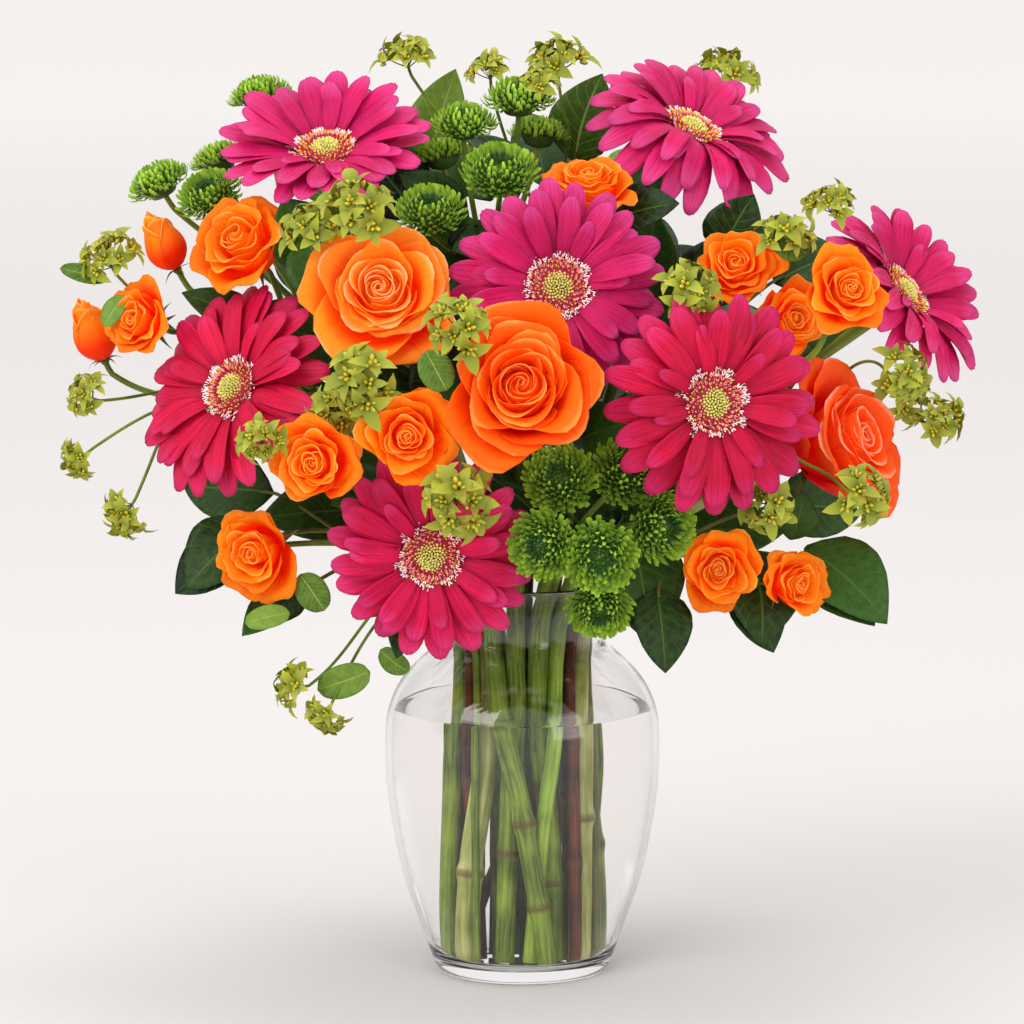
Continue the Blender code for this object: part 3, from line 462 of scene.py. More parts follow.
def keep_in_vase(points, route):
    """Holds a route inside the vase up to its lip, off the free channel, and above the lip where it leans out."""
    lip = OUTSIDE[-1, 1]
    heights = points[:, 2]
    across = np.hypot(points[:, 0], points[:, 1])
    within = np.zeros(len(points), bool)
    if not route.held_start:
        points[0, 2] = STEM_FOOT
        within = np.arange(len(points)) <= int(np.argmax(heights > lip))
        room = inside_radius(heights) - route.radius - WALL_CLEARANCE - np.where(heights < 0.016, 0.0040, 0.0)
        scale = np.where(within & (across > room), room / np.maximum(across, 1e-9), 1.0)
        points[:, :2] *= scale[:, None]
        x, y, channel = FREE_CHANNEL
        offset = points[:, :2] - np.array([x, y])
        apart = np.maximum(np.linalg.norm(offset, axis=1), 1e-6)
        need = channel + route.radius
        near = within & (heights > WATER_LEVEL - 0.01) & (apart < need)
        points[near, :2] += (offset / apart[:, None] * (need - apart)[:, None] * 0.6)[near]
    leaning = ~within & (across > LEAN_FROM) & (across < OUTSIDE[-1, 0] + 0.005)
    points[leaning, 2] = np.maximum(points[leaning, 2], lip + 0.0035 + route.radius)


@functools.cache
def settled_routes():
    """Every stem and branch as its settled points, by route name."""
    mains = main_routes()
    obstacles = guards()
    settle(mains, [], obstacles)
    twigs = twig_routes(mains)
    settle(twigs, mains, obstacles)
    return {r.name: r for r in mains + twigs}


# ---------------------------------------------------------------- nodes

GOLDEN_TURN = math.pi * (3.0 - math.sqrt(5.0))


def linear(colour):
    """An sRGB hex value as linear RGBA. A colour from the settings is linear already."""
    if not isinstance(colour, str):
        return (*colour, 1.0)
    parts = [int(colour[i : i + 2], 16) / 255 for i in (1, 3, 5)]
    return (*(c / 12.92 if c <= 0.04045 else ((c + 0.055) / 1.055) ** 2.4 for c in parts), 1.0)


def add(tree, kind, *values, at=None, stops=(), **named):
    """Adds one node, or a Math node where the kind is an operation in capitals. The values go to the inputs in order,
    those in at to the inputs of that number, and words with a capital name an input. Other words are settings. A node
    given as a value feeds in its first output."""
    node = tree.nodes.new("ShaderNodeMath" if kind.isupper() else kind)
    if kind.isupper():
        node.operation = kind
    inputs = {number: value for number, value in enumerate(values) if value is not None}
    inputs.update(at or {})
    for name, value in named.items():
        if name[0].isupper():
            inputs[name.replace("_", " ")] = value
        else:
            setattr(node, name, value)
    if stops:
        ramp = node.color_ramp.elements
        while len(ramp) < len(stops):
            ramp.new(0.5)
        for element, (place, colour) in zip(ramp, stops):
            element.position, element.color = place, linear(colour)
    for key, value in inputs.items():
        socket = node.inputs[key]
        if isinstance(value, bpy.types.Node):
            value = next(s for s in value.outputs if s.enabled)
        if isinstance(value, bpy.types.NodeSocket):
            tree.links.new(value, socket)
        else:
            socket.default_value = linear(value) if socket.type == "RGBA" else value
    return node


def new_tree(name, **inputs):
    """A Geometry Nodes tree with its named inputs, and what they give. A default tells the kind of its input."""
    tree = bpy.data.node_groups.new(name, "GeometryNodeTree")
    tree.interface.new_socket("Geometry", in_out="INPUT", socket_type="NodeSocketGeometry")
    for label, default in inputs.items():
        kind = default if isinstance(default, str) else {int: "Int", float: "Float"}[type(default)]
        socket = tree.interface.new_socket(label.replace("_", " "), in_out="INPUT", socket_type="NodeSocket" + kind)
        if kind != default:
            socket.default_value = default
    tree.interface.new_socket("Geometry", in_out="OUTPUT", socket_type="NodeSocketGeometry")
    return tree, tree.nodes.new("NodeGroupInput").outputs


def chances(tree, seed, apart, *labels):
    """Random numbers for each point: from 0 to 1 for its tone, and from -1 to 1 for the others."""
    found = {}
    for n, label in enumerate(labels):
        own_seed = add(tree, "ADD", seed, apart * n)
        found[label] = add(
            tree, "FunctionNodeRandomValue", None, None, 0.0 if label == "tone" else -1.0, 1.0,
            data_type="FLOAT", Seed=own_seed,
        ).outputs[1]
    return found


def end_with_shapes(tree, given, points, turn, size):
    """Ends a tree: one of the shapes on each point, turned and sized, made real and given its material."""
    pick = add(tree, "GeometryNodeCollectionInfo", Collection=given["Shapes"], Separate_Children=True)
    rotation = add(tree, "FunctionNodeEulerToRotation", turn)
    put = add(tree, "GeometryNodeInstanceOnPoints", Points=points, Instance=pick, Pick_Instance=True,
              Rotation=rotation, Scale=size)
    made = add(tree, "GeometryNodeRealizeInstances", put)
    if "Material" in given:
        made = add(tree, "GeometryNodeSetMaterial", Geometry=made, Material=given["Material"])
    add(tree, "NodeGroupOutput", made)
    return tree


def run_tree(tree, values, mesh=None):
    """The mesh that a tree makes, with its inputs set by their sockets' identifiers."""
    holder = bpy.data.objects.new("holder", mesh or bpy.data.meshes.new("start"))
    bpy.context.scene.collection.objects.link(holder)
    modifier = holder.modifiers.new(tree.name, "NODES")
    modifier.node_group = tree
    for item in tree.interface.items_tree:
        if item.in_out == "INPUT" and item.name in values:
            modifier[item.identifier] = values[item.name]
    bpy.context.view_layer.update()
    graph = bpy.context.evaluated_depsgraph_get()
    made = bpy.data.meshes.new_from_object(holder.evaluated_get(graph))
    source = holder.data
    bpy.data.objects.remove(holder, do_unlink=True)
    bpy.data.meshes.remove(source)
    return made


@functools.cache
def petal_ring_tree():
    """Petals, sepals or bracts set round a centre, each tilted up and turned a little by chance."""
    tree, given = new_tree(
        "Petal ring", Shapes="Collection", Count=12, Inner_radius=0.01, Length=0.04, Lift=0.1, Lift_spread=0.05,
        Turn=0.0, Size_spread=0.06, Roll_spread=0.1, Seed=1, Material="Material",
    )
    index = add(tree, "GeometryNodeInputIndex")
    chance = chances(tree, given["Seed"], 17.0, "angle", "lift", "size", "roll", "tone")
    step = add(tree, "DIVIDE", 2 * math.pi, given["Count"])
    even = add(tree, "MULTIPLY_ADD", index, step, given["Turn"])
    stray = add(tree, "MULTIPLY", step, 0.17)
    angle = add(tree, "MULTIPLY_ADD", chance["angle"], stray, even)
    flat = add(tree, "ShaderNodeCombineXYZ", add(tree, "COSINE", angle), add(tree, "SINE", angle))
    place = add(tree, "ShaderNodeVectorMath", flat, operation="SCALE", Scale=given["Inner radius"])
    points = add(tree, "GeometryNodePoints", Count=given["Count"], Position=place)
    tone = add(tree, "GeometryNodeStoreNamedAttribute", points, data_type="FLOAT", Name="tone", Value=chance["tone"])
    lift = add(tree, "MULTIPLY_ADD", chance["lift"], given["Lift spread"], given["Lift"])
    down = add(tree, "MULTIPLY", lift, -1.0)
    roll = add(tree, "MULTIPLY", chance["roll"], given["Roll spread"])
    turn = add(tree, "ShaderNodeCombineXYZ", roll, down, angle)
    spread = add(tree, "MULTIPLY_ADD", chance["size"], given["Size spread"], 1.0)
    return end_with_shapes(tree, given, tone, turn, add(tree, "MULTIPLY", spread, given["Length"]))


@functools.cache
def floret_dome_tree():
    """Florets over a dome in the order that a flower head grows them, leaning out more towards the rim."""
    tree, given = new_tree(
        "Floret dome", Shapes="Collection", Count=60, First=0, Radius=0.01, Height=0.004, Lean=1.2, Lean_spread=0.05,
        Middle_size=0.004, Rim_size=0.008, Size_spread=0.1, Seed=1, Material="Material",
    )
    index = add(tree, "GeometryNodeInputIndex")
    chance = chances(tree, given["Seed"], 13.0, "lean", "size", "spin", "tone")
    order = add(tree, "ADD", index, given["First"])
    half = add(tree, "ADD", order, 0.5)
    total = add(tree, "ADD", given["Count"], given["First"])
    share = add(tree, "DIVIDE", half, total)
    out = add(tree, "SQRT", share)
    angle = add(tree, "MULTIPLY", order, GOLDEN_TURN)
    reach = add(tree, "MULTIPLY", out, given["Radius"])
    x = add(tree, "MULTIPLY", add(tree, "COSINE", angle), reach)
    y = add(tree, "MULTIPLY", add(tree, "SINE", angle), reach)
    z = add(tree, "MULTIPLY", add(tree, "SUBTRACT", 1.0, share), given["Height"])
    place = add(tree, "ShaderNodeCombineXYZ", x, y, z)
    points = add(tree, "GeometryNodePoints", Count=given["Count"], Position=place)
    tone = add(tree, "GeometryNodeStoreNamedAttribute", points, data_type="FLOAT", Name="tone", Value=chance["tone"])
    lean = add(tree, "MULTIPLY", out, given["Lean"])
    leaning = add(tree, "MULTIPLY_ADD", chance["lean"], given["Lean spread"], lean)
    spin = add(tree, "MULTIPLY_ADD", chance["spin"], 0.15, angle)
    turn = add(tree, "ShaderNodeCombineXYZ", None, leaning, spin)
    gain = add(tree, "SUBTRACT", given["Rim size"], given["Middle size"])
    plain = add(tree, "MULTIPLY_ADD", out, gain, given["Middle size"])
    spread = add(tree, "MULTIPLY_ADD", chance["size"], given["Size spread"], 1.0)
    return end_with_shapes(tree, given, tone, turn, add(tree, "MULTIPLY", plain, spread))


@functools.cache
def umbel_tree():
    """Umbellets spread from one point, as the ribs of a sunshade are. Their materials come with them."""
    tree, given = new_tree("Umbel", Shapes="Collection", Count=8, Size=0.01, Lean=1.0, Seed=1)
    index = add(tree, "GeometryNodeInputIndex")
    points = add(tree, "GeometryNodePoints", Count=given["Count"])
    share = add(tree, "DIVIDE", add(tree, "ADD", index, 0.3), given["Count"])
    lean = add(tree, "MULTIPLY", add(tree, "SQRT", share), given["Lean"])
    angle = add(tree, "MULTIPLY_ADD", index, GOLDEN_TURN, given["Seed"])
    turn = add(tree, "ShaderNodeCombineXYZ", None, lean, angle)
    share = add(tree, "FunctionNodeRandomValue", None, None, 0.85, 1.15, data_type="FLOAT", Seed=given["Seed"])
    size = add(tree, "MULTIPLY", share.outputs[1], given["Size"])
    return end_with_shapes(tree, given, points, turn, size)


@functools.cache
def stem_tree():
    """A ribbed stalk along a route, thicker at its joints, with closed ends."""
    tree, given = new_tree("Stem along a route", Radius=0.004, Sides=12, Ribs=5.0, Rib_depth=0.06, Material="Material")
    line = add(tree, "GeometryNodeMeshToCurve", given["Geometry"])
    length = add(tree, "GeometryNodeSplineParameter").outputs["Length"]
    marked = add(tree, "GeometryNodeStoreNamedAttribute", line, data_type="FLOAT", Name="along", Value=length)
    swell = add(tree, "GeometryNodeInputNamedAttribute", data_type="FLOAT", Name="swell")
    thick = add(tree, "MULTIPLY", swell, given["Radius"])
    sized = add(tree, "GeometryNodeSetCurveRadius", Curve=marked, Radius=thick)
    ring = add(tree, "GeometryNodeCurvePrimitiveCircle", Resolution=given["Sides"], Radius=1.0)
    around = add(tree, "GeometryNodeSplineParameter").outputs["Factor"]
    named = add(tree, "GeometryNodeStoreNamedAttribute", ring, data_type="FLOAT", Name="around", Value=around)
    turns = add(tree, "MULTIPLY", given["Ribs"], 2 * math.pi)
    wave = add(tree, "COSINE", add(tree, "MULTIPLY", around, turns))
    grow = add(tree, "MULTIPLY_ADD", wave, given["Rib depth"], 1.0)
    spot = add(tree, "GeometryNodeInputPosition")
    ribbed = add(tree, "ShaderNodeVectorMath", spot, operation="SCALE", Scale=grow)
    profile = add(tree, "GeometryNodeSetPosition", Geometry=named, Position=ribbed)
    bar = add(tree, "GeometryNodeCurveToMesh", Curve=sized, Profile_Curve=profile, Scale=thick, Fill_Caps=True)
    smooth = add(tree, "GeometryNodeSetShadeSmooth", bar)
    done = add(tree, "GeometryNodeSetMaterial", Geometry=smooth, Material=given["Material"])
    add(tree, "NodeGroupOutput", done)
    return tree


# ---------------------------------------------------------------- sheets and pieces

class Sheets:
    """Gathers curved sheets into one mesh, with named values at each point."""

    def __init__(self):
        self.points, self.faces, self.values, self.count = [], [], {}, 0

    def add(self, grid, closed=False, **values):
        rows, columns = grid.shape[:2]
        index = np.arange(rows * columns).reshape(rows, columns) + self.count
        if closed:
            index = np.hstack([index, index[:, :1]])
        corners = [index[:-1, :-1], index[:-1, 1:], index[1:, 1:], index[1:, :-1]]
        self.faces.append(np.stack(corners, axis=-1).reshape(-1, 4))
        self.points.append(grid.reshape(-1, 3))
        for name, value in values.items():
            self.values.setdefault(name, []).append(np.broadcast_to(value, (rows, columns)).reshape(-1))
        self.count += rows * columns

    def mesh(self, name):
        mesh = bpy.data.meshes.new(name)
        points = np.vstack(self.points)
        faces = np.vstack(self.faces)
        mesh.vertices.add(len(points))
        mesh.vertices.foreach_set("co", points.astype(np.float32).ravel())
        mesh.loops.add(faces.size)
        mesh.loops.foreach_set("vertex_index", faces.astype(np.int32).ravel())
        mesh.polygons.add(len(faces))
        mesh.polygons.foreach_set("loop_start", np.arange(0, faces.size, 4, dtype=np.int32))
        mesh.polygons.foreach_set("use_smooth", np.ones(len(faces), bool))
        for name, parts in self.values.items():
            mesh.attributes.new(name, "FLOAT", "POINT").data.foreach_set(
                "value", np.concatenate(parts).astype(np.float32)
            )
        mesh.update(calc_edges=True)
        mesh.validate()
        return mesh


def one_sheet(name, grid, closed=False, **values):
    sheets = Sheets()
    sheets.add(grid, closed, **values)
    return sheets.mesh(name)


def grid_of(v, u):
    """How far along and how far across each point of a sheet is."""
    return np.meshgrid(v, u, indexing="ij")


def circle(sides):
    angle = np.linspace(0, 2 * math.pi, sides + 1)[:-1]
    return np.stack([np.cos(angle), np.sin(angle), 0 * angle], axis=-1)


def rod(name, sides, heights, widths, tall=1.0):
    """A small rod along +Z that changes its width on the way."""
    along = np.array(heights)[:, None]
    grid = circle(sides) * np.array(widths)[:, None, None] + np.array([0, 0, tall]) * along[..., None]
    return one_sheet(name, grid, closed=True, along=along)


@functools.cache
def shape_group(shapes):
    """A collection of shapes for a tree to instance, kept out of the scene."""
    group = bpy.data.collections.new(shapes.__name__)
    for n, mesh in enumerate(shapes()):
        group.objects.link(bpy.data.objects.new(f"{shapes.__name__}_{n}", mesh))
    return group


def frame_of(centre, facing, spin=0.0):
    turn = Vector(unit(facing)).to_track_quat("Z", "Y").to_matrix().to_4x4()
    return Matrix.Translation(Vector(centre)) @ turn @ Matrix.Rotation(spin, 4, "Z")


def reshape(mesh, change):
    """Moves a mesh's points: change takes and gives an array of places."""
    points = np.empty(len(mesh.vertices) * 3, np.float32)
    mesh.vertices.foreach_get("co", points)
    moved = change(points.reshape(-1, 3).astype(float))
    mesh.vertices.foreach_set("co", moved.astype(np.float32).ravel())
    mesh.update()
    return mesh


def merged(name, meshes):
    """Several meshes as one, with their values and materials kept."""
    holders = []
    for mesh in meshes:
        holder = bpy.data.objects.new(name, mesh)
        bpy.context.scene.collection.objects.link(holder)
        holders.append(holder)
    if len(holders) > 1:
        with bpy.context.temp_override(
            active_object=holders[0], object=holders[0],
            selected_objects=holders, selected_editable_objects=holders,
        ):
            bpy.ops.object.join()
    mesh = holders[0].data
    bpy.data.objects.remove(holders[0], do_unlink=True)
    mesh.name = name
    return mesh


def thickened(mesh, thickness, offset=0.0):
    holder = bpy.data.objects.new("holder", mesh)
    bpy.context.scene.collection.objects.link(holder)
    solid = holder.modifiers.new("thickness", "SOLIDIFY")
    solid.thickness = thickness
    solid.offset = offset
    bpy.context.view_layer.update()
    made = bpy.data.meshes.new_from_object(holder.evaluated_get(bpy.context.evaluated_depsgraph_get()))
    bpy.data.objects.remove(holder, do_unlink=True)
    return made


def piece(name, mesh, slot, *nodes):
    """A finished piece: it rides on the body and stands for its solids. Its slot is not used."""
    obj = bpy.data.objects.new(name, mesh)
    bpy.context.scene.collection.objects.link(obj)
    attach(obj, "root")
    if nodes:
        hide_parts(*nodes)
    return obj


def turned_mesh(name, profile, steps):
    """A smooth shell of revolution about Z from (radius, height) points that run up the inside or down the outside."""
    line = np.array(profile, float)
    angle = np.linspace(0.0, 2 * math.pi, steps, endpoint=False)
    grid = np.stack(
        [line[:, :1] * np.cos(angle), line[:, :1] * np.sin(angle), np.repeat(line[:, 1:], steps, axis=1)], axis=-1
    )
    mesh = one_sheet(name, grid, closed=True)
    work = bmesh.new()
    work.from_mesh(mesh)
    bmesh.ops.remove_doubles(work, verts=work.verts, dist=1e-6)
    bmesh.ops.recalc_face_normals(work, faces=work.faces)
    for face in work.faces:
        face.smooth = True
    work.to_mesh(mesh)
    work.free()
    return mesh


# ---------------------------------------------------------------- finishes


@functools.cache
def finish_named(make, *settings):
    """One material for each finish and its settings."""
    material = bpy.data.materials.new(make.__name__)
    material.use_nodes = True
    tree = material.node_tree
    tree.nodes.clear()
    add(tree, "ShaderNodeOutputMaterial", Surface=make(tree, *settings))
    return material


# The values that a sheet's points and a stalk's points carry.
PETAL_VALUES = ("along", "across", "tone")
STALK_VALUES = ("along", "around", "swell")


def ray_petal(tree, base, middle, tip, hue):
    """Ray petal of a gerbera: satin, with fine veins along it, deeper towards the disc and paler at the tip. The deeper
    foot is partly its own colour and partly painted shade, where the petals overlap by the disc.
    """
    along, across, tone = (add(tree, "ShaderNodeAttribute", attribute_name=n).outputs["Fac"] for n in PETAL_VALUES)
    # The base colour is partly the petal's own and partly painted shade near the disc.
    body = add(tree, "ShaderNodeValToRGB", along, stops=[(0.0, base), (0.3, middle), (0.72, middle), (1.0, tip)])
    lane = add(
        tree, "ShaderNodeCombineXYZ", add(tree, "MULTIPLY", across, 9.0), add(tree, "MULTIPLY", along, 1.6),
        add(tree, "MULTIPLY", tone, 40.0),
    )
    # Veins about half a millimetre apart across a 10 mm petal, drawn a little coarser so that they show.
    veins = add(tree, "ShaderNodeTexNoise", Vector=lane, Scale=1.3, Detail=3.0)
    streak = add(tree, "ShaderNodeMapRange", veins, 0.35, 0.68, 0.7, 1.14)
    shade = add(tree, "MULTIPLY_ADD", tone, 0.22, 0.89)
    value = add(tree, "MULTIPLY", streak, shade)
    colour = add(tree, "ShaderNodeHueSaturation", Hue=hue, Color=body, Value=value)
    bump = add(tree, "ShaderNodeBump", Strength=0.55, Distance=0.0006, Height=veins)
    leather = add(
        tree, "ShaderNodeBsdfPrincipled", Base_Color=colour, Roughness=0.48, Specular_IOR_Level=0.22, Normal=bump,
    )
    glow = add(tree, "ShaderNodeBsdfTranslucent", Color=colour, Normal=bump)
    return add(tree, "ShaderNodeMixShader", 0.22, leather, glow)


def rose_petal(tree, depth, face, edge):
    """Rose petal: velvety, with a paler rolled edge and soft veins. Its deeper colour towards the foot is painted
    shade, for the shade deep in the cup. Light that has passed through many petals makes the folds glow, which a little
    light of its own stands for."""
    along, across, tone = (add(tree, "ShaderNodeAttribute", attribute_name=n).outputs["Fac"] for n in PETAL_VALUES)
    # Painted shade: the depth colour holds to past the middle of each petal, which lies in the cup's shade.
    body = add(tree, "ShaderNodeValToRGB", along, stops=[(0.55, depth), (0.84, face), (0.95, face), (1.0, edge)])
    lane = add(
        tree, "ShaderNodeCombineXYZ", add(tree, "MULTIPLY", across, 6.0), along, add(tree, "MULTIPLY", tone, 25.0),
    )
    # Petal veins about a millimetre apart.
    veins = add(tree, "ShaderNodeTexNoise", Vector=lane, Scale=2.2, Detail=4.0)
    streak = add(tree, "ShaderNodeMapRange", veins, 0.3, 0.72, 0.88, 1.07)
    shade = add(tree, "MULTIPLY_ADD", tone, 0.12, 0.94)
    value = add(tree, "MULTIPLY", streak, shade)
    hue = add(tree, "MULTIPLY_ADD", tone, 0.012, 0.494)
    colour = add(tree, "ShaderNodeHueSaturation", Hue=hue, Color=body, Value=value)
    bump = add(tree, "ShaderNodeBump", Strength=0.25, Distance=0.0005, Height=veins)
    velvet = add(
        tree, "ShaderNodeBsdfPrincipled", Base_Color=colour, Roughness=0.55, Specular_IOR_Level=0.18, Normal=bump,
        Emission_Color=colour, Emission_Strength=0.15,
    )
    glow = add(tree, "ShaderNodeBsdfTranslucent", Color=colour, Normal=bump)
    return add(tree, "ShaderNodeMixShader", 0.42, velvet, glow)


def floret(tree, base, tip, start, end):
    """Small florets and stamens: one colour at the foot and another at the tip, each a little different."""
    along, tone = (add(tree, "ShaderNodeAttribute", attribute_name=n).outputs["Fac"] for n in ("along", "tone"))
    body = add(tree, "ShaderNodeMapRange", along, start, end)
    colour = add(tree, "ShaderNodeMix", body, data_type="RGBA", at={6: base, 7: tip}).outputs[2]
    value = add(tree, "MULTIPLY_ADD", tone, 0.36, 0.82)
    varied = add(tree, "ShaderNodeHueSaturation", Color=colour, Value=value)
    return add(tree, "ShaderNodeBsdfPrincipled", Base_Color=varied, Roughness=0.55, Specular_IOR_Level=0.35)


def green_leaf(tree, dark, light, vein):
    """Broad leaf: smooth waxy skin, quilted between a pale midrib and side veins that run forward."""
    along, across, tone = (add(tree, "ShaderNodeAttribute", attribute_name=n).outputs["Fac"] for n in PETAL_VALUES)
    spot = add(tree, "ShaderNodeTexCoord").outputs["Object"]
    aside = add(tree, "ABSOLUTE", across)
    forward = add(tree, "MULTIPLY_ADD", aside, -0.26, along)
    steps = add(tree, "MULTIPLY_ADD", forward, 8.0, 4.0)
    saw = add(tree, "FRACT", steps)
    middle = add(tree, "SUBTRACT", saw, 0.5)
    near = add(tree, "ABSOLUTE", middle)
    side = add(tree, "ShaderNodeMapRange", near, 0.07, 0.0, 0.0, 0.6)
    rib = add(tree, "ShaderNodeMapRange", aside, 0.055, 0.015, 0.0, 1.0)
    lines = add(tree, "MAXIMUM", side, rib)
    # Mottling some 3 mm across.
    mottle = add(tree, "ShaderNodeTexNoise", Vector=spot, Scale=300.0, Detail=4.0)
    blend = add(tree, "MULTIPLY_ADD", tone, 0.8, add(tree, "ShaderNodeMapRange", mottle, 0.3, 0.7, -0.2, 0.25))
    body = add(tree, "ShaderNodeMix", blend, data_type="RGBA", at={6: dark, 7: light}).outputs[2]
    veined = add(tree, "ShaderNodeMix", lines, data_type="RGBA", at={6: body, 7: vein}).outputs[2]
    quilt = add(tree, "MULTIPLY_ADD", lines, -1.0, add(tree, "MULTIPLY", mottle, 0.4))
    bump = add(tree, "ShaderNodeBump", Strength=0.5, Distance=0.0006, Height=quilt)
    waxy = add(
        tree, "ShaderNodeBsdfPrincipled", Base_Color=veined, Roughness=0.45, Specular_IOR_Level=0.28, Normal=bump,
    )
    glow = add(tree, "ShaderNodeBsdfTranslucent", Color=veined, Normal=bump)
    return add(tree, "ShaderNodeMixShader", 0.15, waxy, glow)


def green_stalk(tree, dark, light, streaks):
    """Cut stem: long pale streaks along its ribs over green, with small spots."""
    along, around, swell = (add(tree, "ShaderNodeAttribute", attribute_name=n).outputs["Fac"] for n in STALK_VALUES)
    turn = add(tree, "MULTIPLY", around, 2 * math.pi)
    spot = add(
        tree, "ShaderNodeCombineXYZ", add(tree, "COSINE", turn), add(tree, "SINE", turn),
        add(tree, "MULTIPLY", along, 14.0),
    )
    # Streaks a millimetre or so wide and some 30 mm long.
    grain = add(tree, "ShaderNodeTexNoise", Vector=spot, Scale=streaks, Detail=4.0)
    place = add(tree, "ShaderNodeTexCoord").outputs["Object"]
    patch = add(tree, "ShaderNodeTexNoise", Vector=place, Scale=45.0, Detail=3.0)
    both = add(tree, "ADD", grain, patch)
    blend = add(tree, "ShaderNodeMapRange", both, 0.8, 1.22)
    body = add(tree, "ShaderNodeMix", blend, data_type="RGBA", at={6: dark, 7: light}).outputs[2]
    # Brown scars where a leaf was taken off, at the swellings.
    scar = add(tree, "ShaderNodeMapRange", swell, 1.13, 1.23, 0.0, 0.85)
    skin = add(tree, "ShaderNodeMix", scar, data_type="RGBA", at={6: body, 7: "#5E4420"}).outputs[2]
    bump = add(tree, "ShaderNodeBump", Strength=0.5, Distance=0.0006, Height=grain)
    return add(tree, "ShaderNodeBsdfPrincipled", Base_Color=skin, Roughness=0.45, Specular_IOR_Level=0.3, Normal=bump)


def clear_glass(tree, tint, ior):
    """Pressed soda-lime glass: colourless, sharp highlights, faintly wavy."""
    spot = add(tree, "ShaderNodeTexCoord").outputs["Object"]
    # Waves some 20 mm long from pressing.
    waves = add(tree, "ShaderNodeTexNoise", Vector=spot, Scale=50.0, Detail=1.0)
    bump = add(tree, "ShaderNodeBump", Strength=0.05, Distance=0.0005, Height=waves)
    glass = add(
        tree, "ShaderNodeBsdfPrincipled", Base_Color=tint, Roughness=0.0, IOR=ior, Transmission_Weight=1.0,
        Normal=bump,
    )
    clear = add(tree, "ShaderNodeBsdfTransparent", Color=tint)
    shadow = add(tree, "ShaderNodeLightPath").outputs["Is Shadow Ray"]
    return add(tree, "ShaderNodeMixShader", shadow, glass, clear)


def painted_floor(tree, near, middle, far):
    """Matt painted board: no gloss, and paler further out, where the lamps reach less."""
    spot = add(tree, "ShaderNodeTexCoord").outputs["Object"]
    out = add(tree, "ShaderNodeVectorMath", spot, operation="LENGTH").outputs["Value"]
    share = add(tree, "ShaderNodeMapRange", out, 0.0, 6.0)
    colour = add(tree, "ShaderNodeValToRGB", share, stops=[(0.0, near), (0.25, middle), (1.0, far)])
    # Roller texture a few millimetres across.
    grain = add(tree, "ShaderNodeTexNoise", Vector=spot, Scale=200.0)
    bump = add(tree, "ShaderNodeBump", Strength=0.02, Distance=0.0005, Height=grain)
    return add(tree, "ShaderNodeBsdfPrincipled", Base_Color=colour, Roughness=0.9, Specular_IOR_Level=0.1, Normal=bump)


# ---------------------------------------------------------------- shapes that repeat

THREE = (-1.0, 0.0, 1.0)  # across a small sheet: its edges and its midrib


def gerbera_petals():
    """Ray petals of unit length: long, blunt, with small teeth and two grooves."""
    v = np.array([0.0, 0.12, 0.30, 0.50, 0.68, 0.82, 0.92, 1.0])
    V, U = grid_of(v, [-1.0, -0.62, -0.3, 0.0, 0.3, 0.62, 1.0])
    rows = (
        (0.162, 0.070, 0.05, 0.16, 0.010, 0.0), (0.174, 0.045, 0.12, 0.10, 0.004, 0.12),
        (0.148, 0.090, 0.02, 0.22, 0.014, -0.10), (0.168, 0.060, 0.16, 0.05, 0.008, 0.06),
        (0.155, 0.030, 0.00, 0.26, 0.010, -0.05),
    )
    for wide, arch, droop, trough, notch, twist in rows:
        half = wide * (0.34 + 0.66 * np.sin(np.clip(V / 0.62, 0, 1) * math.pi / 2))
        half = half * (1 - 0.42 * np.clip((V - 0.74) / 0.26, 0, 1) ** 2)
        teeth = notch * np.where(np.abs(np.abs(U) - 0.3) < 0.12, 1.0, 0.0) * V**10
        x = V - 0.06 * np.abs(U) ** 2.4 * V**4 - teeth
        y = U * half
        z = arch * np.sin(math.pi * V) - droop * V**2.2 + trough * half * U**2
        turn = twist * V
        grid = np.stack([x, y * np.cos(turn) - z * np.sin(turn) * 0.3, z + y * np.sin(turn)], axis=-1)
        grid[:, (1, 5), 2] -= 0.012 * np.sin(math.pi * np.clip(v, 0, 0.95))[:, None]
        yield one_sheet("gerbera_petal", grid, along=V, across=U)


def tube_florets():
    """Outer disc florets: a short strap that forks and curls at its tip."""
    v = np.array([0.0, 0.35, 0.65, 0.85, 1.0])[:, None]
    for curl, wide in ((0.20, 0.15), (0.38, 0.12), (0.05, 0.17)):
        sheets = Sheets()
        for fork in (-1.0, 1.0):
            across = np.array([-0.5, 0.5]) * wide + fork * 0.18 * v**2.5
            sheets.add(np.stack(np.broadcast_arrays(curl * v**3, across, v), axis=-1), along=v)
        ring = circle(4)
        tube = np.stack([ring * 0.10, ring * 0.13 + [0, 0, 0.45], ring * 0.03 + [0, 0, 0.62]])
        sheets.add(tube, closed=True, along=np.array([0.0, 0.2, 0.3])[:, None])
        yield sheets.mesh("tube_floret")


def stamens():
    """A thin rod with a swollen tip."""
    yield rod("stamen", 4, (0.0, 0.70, 0.86, 1.0), (0.06, 0.07, 0.13, 0.02))


def bud_florets():
    """Unopened disc florets: small pointed buds."""
    for tall in (1.0, 1.25):
        yield rod("bud_floret", 5, (0.0, 0.45, 0.85, 1.0), (0.30, 0.36, 0.22, 0.02), tall)


def mum_florets():
    """Spoon florets of a button mum, standing up and curling in."""
    v = np.array([0.0, 0.3, 0.55, 0.78, 0.92, 1.0])
    V, U = grid_of(v, THREE)
    for bend, wide in ((0.30, 0.170), (0.44, 0.150), (0.20, 0.185)):
        half = wide * np.interp(v, [0, 0.5, 0.85, 1.0], [0.55, 0.9, 1.0, 0.55])[:, None]
        x = bend * np.sin(V * math.pi * 0.75) * 0.6 - bend * 1.1 * V**3 + 0.5 * half * U**2
        grid = np.stack([x, U * half, V * (1 - 0.05 * bend)], axis=-1)
        yield one_sheet("mum_floret", grid, along=V, across=U)


